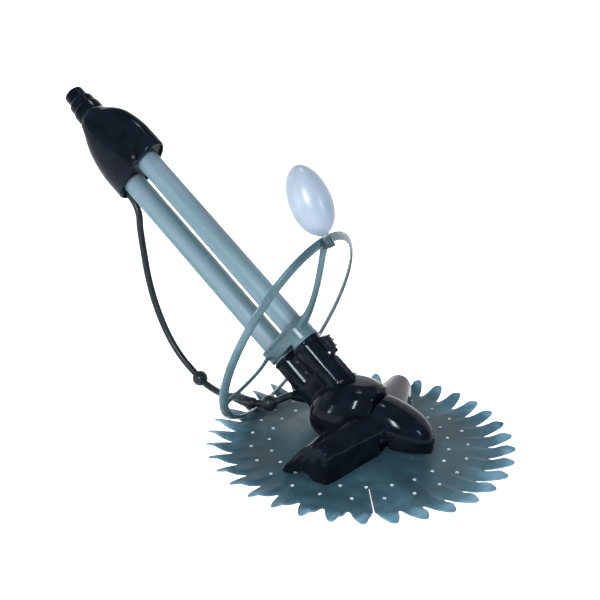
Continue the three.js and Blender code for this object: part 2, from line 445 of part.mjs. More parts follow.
// ---------------------------------------------------------------- latch on the front of the neck
{
  const P = [[45.0, -2.6], [48.6, -2.6], [51.5, 1.2], [58.6, 1.6], [54.6, 4.6], [55.2, 9.0], [61.4, 9.6], [57.0, 12.6], [56.6, 17.0], [60.4, 19.6], [54.8, 20.4], [49.8, 24.6], [47.2, 24.6], [44.2, 22.6], [44.2, 2]];
  const sh = new THREE.Shape(P.map(([w, s]) => new THREE.Vector2(-w, s)));
  const g = new THREE.ExtrudeGeometry(sh, { depth: 8.6, bevelEnabled: false });
  g.applyMatrix4(new THREE.Matrix4().set(0, 0, 1, -4.3, 1, 0, 0, 0, 0, 1, 0, 0, 0, 0, 0, 1));
  const hole = solid(place(cylX(1.85, -12, 12, 14), move(0, -46.6, 0)));
  const boss = solid(place(cylX(3.2, -4.3, 4.3, 14), move(0, -46.6, 0)));
  let la = solid(g).add(boss).subtract(hole);
  for (const [a, b] of [[4.6, 9.2], [11.6, 16.4]]) la = la.subtract(solid(box(-9, 9, -53.0, -47.2, a, b)));
  put(stack, 'wheel_latch', la, 'black');
  put(stack, 'latch_pin', place(cylX(1.5, -8.2, 8.2, 12), move(0, -46.6, 0)), 'steel');
}

// ---------------------------------------------------------------- bumper strap, sleeve, beads, bracket
const strapPts = [S(0, -46.9, 397.0), S(0, -47.3, 388), S(0, -49.5, 376), S(0, -58, 361), S(0, -73.5, 347.5), S(0, -95, 325), S(0, -122, 295), S(0, -144, 265), S(0, -163, 230),
  S(0, -176, 195), new THREE.Vector3(0, 312, 56), new THREE.Vector3(0, 291, 39), new THREE.Vector3(0, 280, 31), new THREE.Vector3(-1, 268.5, 24.6), new THREE.Vector3(-5, 245, 19.8),
  new THREE.Vector3(-11, 222, 20.2), new THREE.Vector3(-18, 198, 26.4), new THREE.Vector3(-25, 176, 28.6), new THREE.Vector3(-25.5, 162, 28.6), new THREE.Vector3(-21, 147, 29.4),
  new THREE.Vector3(-16.5, 137.5, 30.6), new THREE.Vector3(-11.5, 126.5, 35), new THREE.Vector3(-6.5, 114.5, 42), new THREE.Vector3(-3, 104, 45.6), new THREE.Vector3(-0.8, 96.8, 45.0)];
const strapCurve = new THREE.CatmullRomCurve3(strapPts, false, 'centripetal');
put(root, 'bumper_strap', new THREE.ExtrudeGeometry(circleShape(5.4, 8), { steps: 48, bevelEnabled: false, extrudePath: strapCurve }), 'rubber');
const nearest = (p) => { let b = 0, bd = 1e9; for (let i = 0; i <= 4000; i++) { const d = strapCurve.getPointAt(i / 4000).distanceTo(p); if (d < bd) { bd = d; b = i / 4000; } } return b; };
const bead = (name, u) => {
  const c = strapCurve.getPointAt(u), t = strapCurve.getTangentAt(u), R = 12, ri = 6.9, n = 7, pts = [];
  const a0 = Math.asin(ri / R);
  for (let i = 0; i <= n; i++) { const a = a0 + (Math.PI - 2 * a0) * i / n; pts.push([R * Math.sin(a), -R * Math.cos(a)]); }
  pts.push(pts[0]);
  put(root, name, place(latheZ(pts, 18), orient(t, c)), 'rubber');
  return { c, t };
};
const u1 = nearest(new THREE.Vector3(0, 280, 31)), u2 = nearest(new THREE.Vector3(-16.5, 137.5, 30.6));
const b1 = bead('bead_1', u1), b2 = bead('bead_2', u2);
{
  const ua = nearest(new THREE.Vector3(-18, 198, 26.4)), ub = nearest(new THREE.Vector3(-24.6, 158, 28.7));
  const pts = Array.from({ length: 9 }, (_, i) => strapCurve.getPointAt(ua + (ub - ua) * i / 8));
  const ext = (p, q, k) => p.clone().addScaledVector(p.clone().sub(q).normalize(), k);
  const long = [ext(pts[0], pts[1], 4), ...pts, ext(pts[8], pts[7], 4)];
  const o = solid(sweep(pts, circleShape(8.2, 10), 8));
  const i = solid(sweep(long, circleShape(6.2, 10), 10));
  put(root, 'strap_sleeve', o.subtract(i), 'rubber');
}
{
  const e = strapCurve.getPointAt(1), t = strapCurve.getTangentAt(1);
  const plug = solid(place(cylZ(7.4, -9, 26, 20), orient(t, e))).subtract(solid(place(cylZ(6.3, -12, 0.4, 20), orient(t, e))));
  const br = plug.subtract(bodyOuter(0.35)).subtract(solid(cylZ(68.6, 0, 36.3, 48)));
  const parts = br.decompose().sort((a, b) => b.volume() - a.volume());
  put(root, 'strap_bracket', parts[0], 'black');
}

root.position.y = -CENTRE_Y;
export default root;
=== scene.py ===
# Pool cleaner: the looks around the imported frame. Metres, +Z up.
# Shapes are laid out in millimetres about the foot's vertical axis and moved back by YC.
import math
import bpy
import bmesh
import numpy as np
from mathutils import Vector, Matrix, Euler


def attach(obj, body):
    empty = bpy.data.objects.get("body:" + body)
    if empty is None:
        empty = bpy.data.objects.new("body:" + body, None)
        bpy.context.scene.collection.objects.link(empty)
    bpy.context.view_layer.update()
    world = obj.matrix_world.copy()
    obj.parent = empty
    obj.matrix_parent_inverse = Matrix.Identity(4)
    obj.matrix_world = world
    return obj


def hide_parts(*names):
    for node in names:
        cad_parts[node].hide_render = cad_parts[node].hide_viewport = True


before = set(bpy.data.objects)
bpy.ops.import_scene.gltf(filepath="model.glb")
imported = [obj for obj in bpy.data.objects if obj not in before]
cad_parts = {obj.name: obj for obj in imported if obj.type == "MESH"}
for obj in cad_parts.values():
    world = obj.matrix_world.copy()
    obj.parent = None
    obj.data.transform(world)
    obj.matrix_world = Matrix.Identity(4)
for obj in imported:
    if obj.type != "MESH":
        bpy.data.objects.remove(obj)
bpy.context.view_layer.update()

YC = 151.853
ROOT = "cleaner"
rad = math.radians
TILT = rad(40.43)
CT, SN = math.cos(TILT), math.sin(TILT)
TW = 23.4


def ST(x, w, s):
    """stack frame (x, across the tubes, along the tubes) to mm about the foot"""
    return np.array([x, 72.4 - SN * w + CT * s, 90.45 + CT * w + SN * s], float)


def M(p):
    """mm about the foot to metres in the part's frame"""
    p = np.asarray(p, float)
    q = p.copy()
    q[..., 1] -= YC
    return q / 1000.0


# ------------------------------------------------------------------ camera and light
def set_camera():
    az, el, roll = rad(-58.0), rad(17.72072), rad(-0.41249)
    c = Vector((math.sin(az) * math.cos(el), -math.cos(az) * math.cos(el), math.sin(el)))
    right = Vector((math.cos(az), math.sin(az), 0))
    up = c.cross(right)
    r1 = math.cos(roll) * right + math.sin(roll) * up
    u1 = -math.sin(roll) * right + math.cos(roll) * up
    cam = bpy.data.cameras.new("camera")
    cam.lens = 43.6997
    cam.sensor_width = 36.0
    cam.clip_start = 0.02
    cam.clip_end = 50
    ob = bpy.data.objects.new("camera", cam)
    m = Matrix.Identity(4)
    for i, v in enumerate((r1, u1, c)):
        m[0][i], m[1][i], m[2][i] = v.x, v.y, v.z
    m[0][3], m[1][3], m[2][3] = -0.80906, -0.41166 - YC / 1000.0, 0.49502
    ob.matrix_world = m
    bpy.context.scene.collection.objects.link(ob)
    bpy.context.scene.camera = ob
    return ob


def look(ob, target):
    d = Vector(target) - ob.location
    ob.rotation_euler = d.to_track_quat("-Z", "Y").to_euler()


def area(name, loc, target, size, power, color=(1, 1, 1), size_y=None):
    l = bpy.data.lights.new(name, "AREA")
    l.energy = power
    l.color = color
    l.size = size
    if size_y:
        l.shape = "RECTANGLE"
        l.size_y = size_y
    o = bpy.data.objects.new(name, l)
    o.location = loc
    bpy.context.scene.collection.objects.link(o)
    look(o, target)
    return o


# ------------------------------------------------------------------ material helpers
def new_mat(name):
    m = bpy.data.materials.new(name)
    m.use_nodes = True
    nt = m.node_tree
    b = nt.nodes["Principled BSDF"]
    return m, nt, b


def N(nt, kind, **kw):
    n = nt.nodes.new(kind)
    for k, v in kw.items():
        setattr(n, k, v)
    return n


def noise(nt, scale, detail=4.0, rough=0.55, vec=None, dist=0.0):
    n = N(nt, "ShaderNodeTexNoise")
    n.inputs["Scale"].default_value = scale
    n.inputs["Detail"].default_value = detail
    n.inputs["Roughness"].default_value = rough
    n.inputs["Distortion"].default_value = dist
    nt.links.new(vec if vec is not None else coord(nt), n.inputs["Vector"])
    return n.outputs["Fac"]


def coord(nt):
    for n in nt.nodes:
        if n.bl_idname == "ShaderNodeTexCoord":
            return n.outputs["Object"]
    return N(nt, "ShaderNodeTexCoord").outputs["Object"]


def ramp(nt, fac, stops):
    r = N(nt, "ShaderNodeValToRGB")
    e = r.color_ramp.elements
    e[0].position, e[0].color = stops[0][0], (*stops[0][1], 1)
    e[1].position, e[1].color = stops[-1][0], (*stops[-1][1], 1)
    for p, c in stops[1:-1]:
        k = e.new(p)
        k.color = (*c, 1)
    nt.links.new(fac, r.inputs["Fac"])
    return r.outputs["Color"]


def to_range(nt, fac, lo, hi, a=0.0, b=1.0):
    r = N(nt, "ShaderNodeMapRange")
    r.inputs["From Min"].default_value = a
    r.inputs["From Max"].default_value = b
    r.inputs["To Min"].default_value = lo
    r.inputs["To Max"].default_value = hi
    nt.links.new(fac, r.inputs["Value"])
    return r.outputs["Result"]


def math_n(nt, op, a, b=None):
    n = N(nt, "ShaderNodeMath", operation=op)
    for i, v in enumerate((a, b)):
        if v is None:
            continue
        if isinstance(v, (int, float)):
            n.inputs[i].default_value = v
        else:
            nt.links.new(v, n.inputs[i])
    return n.outputs[0]


def bump(nt, b, height, strength, dist=0.001, prev=None):
    n = N(nt, "ShaderNodeBump")
    n.inputs["Strength"].default_value = strength
    n.inputs["Distance"].default_value = dist
    nt.links.new(height, n.inputs["Height"])
    if prev is not None:
        nt.links.new(prev, n.inputs["Normal"])
    if b is not None:
        nt.links.new(n.outputs["Normal"], b.inputs["Normal"])
    return n.outputs["Normal"]


def mat_black(name="black_gloss_plastic", base=(0.0022, 0.0032, 0.0055), rough=(0.08, 0.17), spec=0.055):
    m, nt, b = new_mat(name)
    fine = noise(nt, 900, 3)
    mid = noise(nt, 55, 4)
    big = noise(nt, 9, 3)
    lo = [c * 0.7 for c in base]
    hi = [c * 1.7 for c in base]
    nt.links.new(ramp(nt, mid, [(0.3, lo), (0.7, hi)]), b.inputs["Base Color"])
    r = math_n(nt, "ADD", to_range(nt, big, rough[0], rough[1], 0.3, 0.7), to_range(nt, fine, -0.03, 0.03, 0.3, 0.7))
    nt.links.new(r, b.inputs["Roughness"])
    b.inputs["IOR"].default_value = 1.5
    b.inputs["Specular IOR Level"].default_value = spec
    b.inputs["Specular Tint"].default_value = (0.80, 0.92, 1.0, 1.0)
    bump(nt, b, fine, 0.05, 0.0003, bump(nt, None, big, 0.05, 0.002))
    return m


def mat_soft(name, base, rough=(0.42, 0.6), tex=700, strength=0.18):
    m, nt, b = new_mat(name)
    fine = noise(nt, tex, 5)
    mid = noise(nt, 70, 4)
    nt.links.new(ramp(nt, mid, [(0.3, [c * 0.7 for c in base]), (0.7, [c * 1.35 for c in base])]), b.inputs["Base Color"])
    nt.links.new(to_range(nt, mid, rough[0], rough[1], 0.3, 0.7), b.inputs["Roughness"])
    b.inputs["IOR"].default_value = 1.48
    b.inputs["Specular IOR Level"].default_value = 0.16
    bump(nt, b, fine, strength, 0.0004)
    return m


def mat_tube():
    m, nt, b = new_mat("tube_smoky_plastic")
    tc = N(nt, "ShaderNodeTexCoord")
    m2 = N(nt, "ShaderNodeMapping")
    m2.inputs["Rotation"].default_value = (math.pi / 2 - TILT, 0, 0)
    nt.links.new(tc.outputs["Object"], m2.inputs["Vector"])
    m3 = N(nt, "ShaderNodeMapping")
    m3.inputs["Scale"].default_value = (1, 1, 0.02)
    nt.links.new(m2.outputs["Vector"], m3.inputs["Vector"])
    big = noise(nt, 85, 2, vec=m3.outputs["Vector"])
    mid = noise(nt, 18, 2)
    mixf = math_n(nt, "ADD", math_n(nt, "MULTIPLY", big, 0.85), math_n(nt, "MULTIPLY", mid, 0.15))
    nt.links.new(ramp(nt, mixf, [(0.32, (0.044, 0.104, 0.122)), (0.5, (0.074, 0.128, 0.154)), (0.68, (0.108, 0.134, 0.188))]), b.inputs["Base Color"])
    nt.links.new(to_range(nt, mid, 0.44, 0.52, 0.3, 0.7), b.inputs["Roughness"])
    b.inputs["IOR"].default_value = 1.49
    b.inputs["Transmission Weight"].default_value = 0.12
    b.inputs["Specular IOR Level"].default_value = 0.30
    # faint draw lines along the tube
    t = N(nt, "ShaderNodeTexCoord")
    mp = N(nt, "ShaderNodeMapping")
    mp.inputs["Rotation"].default_value = (math.pi / 2 - TILT, 0, 0)
    nt.links.new(t.outputs["Object"], mp.inputs["Vector"])
    m4 = N(nt, "ShaderNodeMapping")
    m4.inputs["Scale"].default_value = (1, 1, 0.02)
    nt.links.new(mp.outputs["Vector"], m4.inputs["Vector"])
    lines = noise(nt, 450, 2, vec=m4.outputs["Vector"])
    bump(nt, b, lines, 0.06, 0.0004)
    return m


def mat_wheel():
    m, nt, b = new_mat("wheel_moulded_plastic")
    big = noise(nt, 14, 4, dist=0.4)
    fine = noise(nt, 800, 4)
    nt.links.new(ramp(nt, big, [(0.3, (0.026, 0.050, 0.060)), (0.55, (0.042, 0.078, 0.094)), (0.75, (0.066, 0.110, 0.132))]), b.inputs["Base Color"])
    nt.links.new(to_range(nt, big, 0.2, 0.34, 0.3, 0.7), b.inputs["Roughness"])
    b.inputs["IOR"].default_value = 1.5
    b.inputs["Specular IOR Level"].default_value = 0.22
    bump(nt, b, fine, 0.07, 0.0003)
    return m


def mat_disc():
    m, nt, b = new_mat("disc_elastomer")
    co = coord(nt)
    big = noise(nt, 11, 4, dist=0.8)
    mid = noise(nt, 60, 5)
    fine = noise(nt, 1100, 4)
    # painted light: the tone gets lighter from the centre out to the fins, standing in for their lit faces, with
    # painted shade nearer their roots
    sep = N(nt, "ShaderNodeSeparateXYZ")
    nt.links.new(co, sep.inputs[0])
    yy = math_n(nt, "ADD", sep.outputs[1], YC / 1000.0)
    r2 = math_n(nt, "SQRT", math_n(nt, "ADD", math_n(nt, "MULTIPLY", sep.outputs[0], sep.outputs[0]), math_n(nt, "MULTIPLY", yy, yy)))
    fin_painted_light = to_range(nt, r2, 0.0, 1.0, 0.150, 0.200)
    mixf = math_n(nt, "ADD", math_n(nt, "MULTIPLY", big, 0.55), math_n(nt, "ADD", math_n(nt, "MULTIPLY", mid, 0.2), math_n(nt, "MULTIPLY", fin_painted_light, 0.25)))
    nt.links.new(ramp(nt, mixf, [(0.28, (0.011, 0.026, 0.034)), (0.42, (0.017, 0.041, 0.054)), (0.56, (0.034, 0.078, 0.106)), (0.72, (0.115, 0.205, 0.270))]), b.inputs["Base Color"])
    nt.links.new(to_range(nt, mid, 0.34, 0.52, 0.3, 0.7), b.inputs["Roughness"])
    b.inputs["IOR"].default_value = 1.46
    b.inputs["Specular IOR Level"].default_value = 0.10
    bump(nt, b, fine, 0.12, 0.0004, bump(nt, None, big, 0.08, 0.004))
    return m


def mat_float():
    m, nt, b = new_mat("float_blown_plastic")
    big = noise(nt, 16, 3, dist=0.5)
    fine = noise(nt, 600, 4)
    nt.links.new(ramp(nt, big, [(0.3, (0.138, 0.172, 0.216)), (0.7, (0.172, 0.206, 0.250))]), b.inputs["Base Color"])
    nt.links.new(to_range(nt, big, 0.30, 0.38, 0.3, 0.7), b.inputs["Roughness"])
    b.inputs["IOR"].default_value = 1.5
    b.inputs["Specular IOR Level"].default_value = 0.35
    bump(nt, b, fine, 0.04, 0.0003, bump(nt, None, big, 0.05, 0.003))
    return m


def mat_steel(name="stainless_steel", base=(0.52, 0.53, 0.54)):
    m, nt, b = new_mat(name)
    mid = noise(nt, 120, 4)
    fine = noise(nt, 1500, 3)
    nt.links.new(ramp(nt, mid, [(0.3, [c * 0.8 for c in base]), (0.7, [c * 1.2 for c in base])]), b.inputs["Base Color"])
    b.inputs["Metallic"].default_value = 1.0
    nt.links.new(to_range(nt, fine, 0.22, 0.42, 0.3, 0.7), b.inputs["Roughness"])
    bump(nt, b, fine, 0.08, 0.0002)
    return m


MAT = {
    "black": mat_black(),
    "black_satin": mat_black("black_satin_plastic", base=(0.006, 0.008, 0.011), rough=(0.24, 0.36), spec=0.08),
    "tube": mat_tube(),
    "wheel": mat_wheel(),
    "clip": mat_soft("clip_dark_plastic", (0.02, 0.035, 0.042), (0.28, 0.4), 900, 0.08),
    "disc": mat_disc(),
    "float": mat_float(),
    # eyelets: their pale tone is painted light, standing in for the light dots seen at the disc's holes
    "pip": mat_soft("eyelet_painted_light_rubber", (0.34, 0.40, 0.45), (0.3, 0.45), 900, 0.1),
    "soft": mat_soft("soft_black_elastomer", (0.004, 0.008, 0.0095), (0.26, 0.4)),
    "dark_steel": mat_steel("blackened_steel", (0.035, 0.04, 0.05)),
    "pad": mat_soft("pad_elastomer", (0.015, 0.02, 0.022), (0.5, 0.7), 420, 0.3),
    "steel": mat_steel(),
    "ballast": mat_soft("coated_ballast", (0.09, 0.09, 0.10), (0.5, 0.7), 500, 0.3),
}


# ------------------------------------------------------------------ mesh helpers
def mesh_obj(name, verts, faces, mat, smooth=True, sharp=38.0):
    me = bpy.data.meshes.new(name)
    me.from_pydata([tuple(v) for v in verts], [], [tuple(f) for f in faces])
    me.validate()
    ob = bpy.data.objects.new(name, me)
    bpy.context.scene.collection.objects.link(ob)
    finish_mesh(ob, mat, smooth, sharp)
    return ob


def finish_mesh(ob, mat=None, smooth=True, sharp=38.0):
    me = ob.data
    bm = bmesh.new()
    bm.from_mesh(me)
    bmesh.ops.remove_doubles(bm, verts=bm.verts, dist=2e-6)
    bmesh.ops.dissolve_degenerate(bm, dist=1e-6, edges=bm.edges)
    bmesh.ops.recalc_face_normals(bm, faces=bm.faces)
    bm.to_mesh(me)
    bm.free()
    if mat is not None:
        me.materials.clear()
        me.materials.append(MAT[mat])
    me.polygons.foreach_set("use_smooth", [smooth] * len(me.polygons))
    if smooth and sharp:
        me.set_sharp_from_angle(angle=rad(sharp))
    me.update()


def grid_faces(nr, nc, wrap_c=True, wrap_r=False, off=0):
    f = []
    for r in range(nr if wrap_r else nr - 1):
        for c in range(nc if wrap_c else nc - 1):
            a = off + r * nc + c
            b = off + r * nc + (c + 1) % nc
            d = off + ((r + 1) % nr) * nc + c
            e = off + ((r + 1) % nr) * nc + (c + 1) % nc
            f.append((a, b, e, d))
    return f


def loft_obj(name, rows, mat, closed=False, caps=True, sharp=38.0):
    """rows: list of closed rings (n x 3, mm). closed joins the last ring to the first."""
    n = len(rows[0])
    v = np.concatenate(rows)
    f = grid_faces(len(rows), n, True, closed)
    v = list(v)
    if caps and not closed:
        for r, base in ((rows[0], 0), (rows[-1], (len(rows) - 1) * n)):
            k = len(v)
            v.append(np.mean(r, axis=0))
            for c in range(n):
                f.append((base + c, base + (c + 1) % n, k))
    return mesh_obj(name, M(np.array(v)), f, mat, sharp=sharp)


def basis(d, hint=(1, 0, 0)):
    d = np.asarray(d, float)
    d = d / np.linalg.norm(d)
    h = np.asarray(hint, float)
    u = h - d * h.dot(d)
    if np.linalg.norm(u) < 1e-6:
        h = np.array([0, 0, 1.0])
        u = h - d * h.dot(d)
    u /= np.linalg.norm(u)
    return u, np.cross(d, u), d


def lathe_obj(name, prof, origin, axis, mat, seg=72, sharp=38.0, closed=True):
    """prof: [r, z] points along axis from origin, in mm"""
    u, v, d = basis(axis)
    o = np.asarray(origin, float)
    t = np.arange(seg) * 2 * math.pi / seg
    rows = [o + d * z + np.outer(np.cos(t), u) * r + np.outer(np.sin(t), v) * r for r, z in prof]
    return loft_obj(name, rows, mat, closed=closed, caps=not closed, sharp=sharp)


def rounded(prof, rr, k=4, closed=True):
    """rounds the corners of a polygon [r, z] with radius rr (a number, or one for each point)"""
    n = len(prof)
    out = []
    for i in range(n):
        p = np.array(prof[i], float)
        r = rr[i] if isinstance(rr, (list, tuple)) else rr
        if (not closed and i in (0, n - 1)) or r <= 0:
            out.append(tuple(p))
            continue
        a, b = np.array(prof[i - 1], float), np.array(prof[(i + 1) % n], float)
        da, db = a - p, b - p
        la, lb = np.linalg.norm(da), np.linalg.norm(db)
        if la < 1e-9 or lb < 1e-9:
            out.append(tuple(p))
            continue
        q = min(r, la * 0.45, lb * 0.45)
        pa, pb = p + da / la * q, p + db / lb * q
        for j in range(k + 1):
            t = j / k
            out.append(tuple((1 - t) ** 2 * pa + 2 * t * (1 - t) * p + t * t * pb))
    return out


def spline(pts, n, kind="centripetal"):
    """smooth curve through points, n samples, evenly spaced"""
    P = np.asarray(pts, float)
    d = np.linalg.norm(np.diff(P, axis=0), axis=1) ** 0.5
    t = np.r_[0, np.cumsum(d)]
    m = np.zeros_like(P)
    for i in range(len(P)):
        if i == 0:
            m[i] = (P[1] - P[0]) / (t[1] - t[0])
        elif i == len(P) - 1:
            m[i] = (P[-1] - P[-2]) / (t[-1] - t[-2])
        else:
            h0, h1 = t[i] - t[i - 1], t[i + 1] - t[i]
            m[i] = ((P[i] - P[i - 1]) / h0 * h1 + (P[i + 1] - P[i]) / h1 * h0) / (h0 + h1)
    out = []
    for i in range(len(P) - 1):
        h = t[i + 1] - t[i]
        for j in range(40):
            u = j / 40
            h00, h10 = 2 * u ** 3 - 3 * u ** 2 + 1, u ** 3 - 2 * u ** 2 + u
            h01, h11 = -2 * u ** 3 + 3 * u ** 2, u ** 3 - u ** 2
            out.append(h00 * P[i] + h10 * h * m[i] + h01 * P[i + 1] + h11 * h * m[i + 1])
    out.append(P[-1])
    out = np.array(out)
    L = np.r_[0, np.cumsum(np.linalg.norm(np.diff(out, axis=0), axis=1))]
    s = np.linspace(0, L[-1], n)
    return np.stack([np.interp(s, L, out[:, k]) for k in range(P.shape[1])], axis=1)


def frames(path, up=(0, 0, 1)):
    """parallel-transport frames"""
    T = np.gradient(path, axis=0)
    T /= np.linalg.norm(T, axis=1)[:, None]
    u0 = np.asarray(up, float) - T[0] * np.dot(up, T[0])
    u0 /= np.linalg.norm(u0)
    U = [u0]
    for i in range(1, len(path)):
        u = U[-1] - T[i] * U[-1].dot(T[i])
        U.append(u / np.linalg.norm(u))
    U = np.array(U)
    return T, U, np.cross(T, U)


def sweep_rows(path, section, scale=None, up=(0, 0, 1)):
    T, U, V = frames(path, up)
    rows = []
    for i in range(len(path)):
        s = section if scale is None else section * scale[i]
        rows.append(path[i] + np.outer(s[:, 0], U[i]) + np.outer(s[:, 1], V[i]))
    return rows


def circ(r, n):
    t = np.arange(n) * 2 * math.pi / n
    return np.stack([r * np.cos(t), r * np.sin(t)], axis=1)


def sup_ring(a, b, e, n):
    t = np.arange(n) * 2 * math.pi / n
    c, s = np.cos(t), np.sin(t)
    k = 2.0 / e
    return np.sign(c) * np.abs(c) ** k * a, np.sign(s) * np.abs(s) ** k * b


def apply_mods(ob):
    dg = bpy.context.evaluated_depsgraph_get()
    me = bpy.data.meshes.new_from_object(ob.evaluated_get(dg))
    old = ob.data
    ob.modifiers.clear()
    ob.data = me
    bpy.data.meshes.remove(old)


def is_closed(o):
    bm = bmesh.new()
    bm.from_mesh(o.data)
    ok = len(bm.faces) > 0 and all(e.is_manifold for e in bm.edges)
    bm.free()
    return ok


def boolean(ob, tools, op="DIFFERENCE", remove=True):
    for t in tools:
        m = ob.modifiers.new("b", "BOOLEAN")
        m.operation = op
        m.solver = "MANIFOLD" if is_closed(ob) and is_closed(t) else "EXACT"
        m.object = t
        if m.solver == "EXACT":
            print("EXACT solver for", ob.name, t.name)
        apply_mods(ob)
        if remove:
            drop(t)


def drop(o):
    me = o.data
    bpy.data.objects.remove(o, do_unlink=True)
    if me.users == 0:
        bpy.data.meshes.remove(me)


def join(name, obs, mat):
    bm = bmesh.new()
    for o in obs:
        bm.from_mesh(o.data)
    me = bpy.data.meshes.new(name)
    bm.to_mesh(me)
    bm.free()
    for o in obs:
        drop(o)
    ob = bpy.data.objects.new(name, me)
    bpy.context.scene.collection.objects.link(ob)
    me.materials.append(MAT[mat])
    return ob


def fuse(ob, voxel, smooth_iter, mat, factor=0.5, keep=1.0):
    """one skin over all the solids of a mesh: voxel union, then a light smoothing"""
    m = ob.modifiers.new("r", "REMESH")
    m.mode = "VOXEL"
    m.voxel_size = voxel / 1000.0
    m.adaptivity = 0.0
    if smooth_iter:
        s = ob.modifiers.new("s", "SMOOTH")
        s.iterations = smooth_iter
        s.factor = factor
    apply_mods(ob)
    finish_mesh(ob, mat, True, 60)
    return ob


def box_obj(name, x0, x1, y0, y1, z0, z1, mat="black", stack=False, bev=0.0):
    pts = [(x, y, z) for x in (x0, x1) for y in (y0, y1) for z in (z0, z1)]
    if stack:
        pts = [ST(x, w, s) for x, w, s in pts]
    f = [(0, 1, 3, 2), (4, 6, 7, 5), (0, 4, 5, 1), (2, 3, 7, 6), (0, 2, 6, 4), (1, 5, 7, 3)]
    ob = mesh_obj(name, M(np.array(pts)), f, mat, smooth=False, sharp=0)
    if bev:
        m = ob.modifiers.new("v", "BEVEL")
        m.width = bev / 1000
        m.segments = 3
        apply_mods(ob)
    return ob


def cyl_obj(name, r, p0, p1, mat="black", seg=64):
    p0, p1 = np.asarray(p0, float), np.asarray(p1, float)
    L = np.linalg.norm(p1 - p0)
    return lathe_obj(name, [(r, 0), (r, L)], p0, p1 - p0, mat, seg, closed=False)


def rides(ob, body=ROOT, nodes=()):
    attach(ob, body)
    if nodes:
        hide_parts(*nodes)
    return ob


def disc_top(r):
    r = np.asarray(r, float)
    z = np.where(r < 64, 13.6, np.where(r < 114, 13.6 - (r - 64) / 50 * 10, 3.6))
    return z + np.where(r > 172, 8.9 * (np.clip(r - 172, 0, None) / 38) ** 1.2, 0)


set_camera()

# ------------------------------------------------------------------ hose swivel
spig = rounded([(12.6, 499), (17.4, 499), (17.4, 516.3), (22.6, 516.3), (22.6, 531.2), (20.6, 533.2), (20.3, 546.4), (17.2, 548.6), (16.2, 550.2),
                (16.0, 566), (12.6, 566)], [0.3, 0.5, 0.4, 1.2, 1.6, 0.8, 1.2, 1.0, 0.8, 1.3, 0.9], 4)
hose = lathe_obj("hose_swivel_spigot", spig, ST(0, 0, 0), ST(0, 0, 1) - ST(0, 0, 0), "black", 96)
rides(hose, "swivel", ["hose_spigot"])

# ------------------------------------------------------------------ bell
BELL = [[394.0, 56.6, 25.6, 2.3, 1.5], [397, 58.6, 27.0, 2.3, 1.5], [430, 58.6, 27.6, 2.3, 1.4], [447, 57.0, 27.4, 2.25, 1.2], [462, 53.8, 27.0, 2.2, 1.0],
        [476, 49.4, 26.6, 2.15, 0.8], [490, 41.8, 26.0, 2.1, 0.5], [505, 30.2, 25.2, 2, 0.1], [512, 25.4, 24.2, 2, 0]]


def bell_ring(s, a, b, e, o, n=112):
    w, x = sup_ring(a, b, e, n)
    return np.array([ST(xx, ww + o, s) for ww, xx in zip(w, x)])


def bell_stations(n):
    P = np.array(BELL)
    S = np.r_[np.linspace(394, 400, 6), np.linspace(403, 512, n)]
    out = []
    for s in S:
        row = [s]
        for k in range(1, 5):
            # monotone smooth interpolation through the stations
            xs, ys = P[:, 0], P[:, k]
            i = min(max(np.searchsorted(xs, s) - 1, 0), len(xs) - 2)
            h = xs[i + 1] - xs[i]
            u = (s - xs[i]) / h
            d = np.diff(ys) / np.diff(xs)

            def slope(j):
                if j == 0:
                    return d[0]
                if j == len(xs) - 1:
                    return d[-1]
                if d[j - 1] * d[j] <= 0:
                    return 0.0
                return 2 * d[j - 1] * d[j] / (d[j - 1] + d[j])
            m0, m1 = slope(i), slope(i + 1)
            row.append((2 * u ** 3 - 3 * u ** 2 + 1) * ys[i] + (u ** 3 - 2 * u ** 2 + u) * h * m0 + (-2 * u ** 3 + 3 * u ** 2) * ys[i + 1] + (u ** 3 - u ** 2) * h * m1)
        out.append(row)
    return out


bs = bell_stations(44)
rows = [bell_ring(394.0, 55.6, 24.6, 2.3, 1.5)] + [bell_ring(*r) for r in bs]
rows += [bell_ring(513.4, 24.2, 23.4, 2, 0), bell_ring(514, 22.8, 22.4, 2, 0), bell_ring(514, 18.4, 18.4, 2, 0), bell_ring(513.6, 18, 18, 2, 0), bell_ring(506.3, 18, 18, 2, 0),
         bell_ring(506.3, 25.2, 22.2, 2, 0)]
rows += [bell_ring(s, a - 2.6, b - 2.6, e, o) for s, a, b, e, o in reversed(bs) if s < 500 and s > 394.6]
rows += [bell_ring(394.2, 54.6, 23.6, 2.3, 1.5)]
bell = loft_obj("oval_bell", rows, "black", closed=True)
for sg in (-1, 1):
    # a flat seat under each screw's head
    seat = cyl_obj("seat", 4.6, ST(sg * 23.9, 28, 402), ST(sg * 27.85, 28, 402), "black", 40)
    boolean(bell, [seat], "UNION")
finish_mesh(bell, "black", True, 38)
rides(bell, ROOT, ["top_bell"])

# ------------------------------------------------------------------ tubes
for nm, w in (("upper", TW), ("lower", -TW)):
    pr = rounded([(15.3, 12), (17.1, 12), (17.1, 424), (15.3, 424)], 0.4, 2)
    # a few stations along the length, so that the wall isn't one long facet
    pr2 = []
    for i, p in enumerate(pr):
        pr2.append(p)
        q = pr[(i + 1) % len(pr)]
        if abs(q[1] - p[1]) > 100:
            for k in range(1, 24):
                pr2.append((p[0], p[1] + (q[1] - p[1]) * k / 24))
    tb = lathe_obj(nm + "_flow_tube", pr2, ST(0, w, 0), ST(0, 0, 1) - ST(0, 0, 0), "tube", 88)
    rides(tb, ROOT, [nm + "_tube"])

# ------------------------------------------------------------------ head
DOME = [(36, 13, 54, 50, 2.5), (46, 13, 54, 50, 2.5), (58, 12, 51, 48, 2.5), (70, 9, 47, 43, 2.4), (80, 5, 42, 36, 2.3), (86, 3.6, 34.5, 28.5, 2.15), (90, 3, 26, 20, 2)]


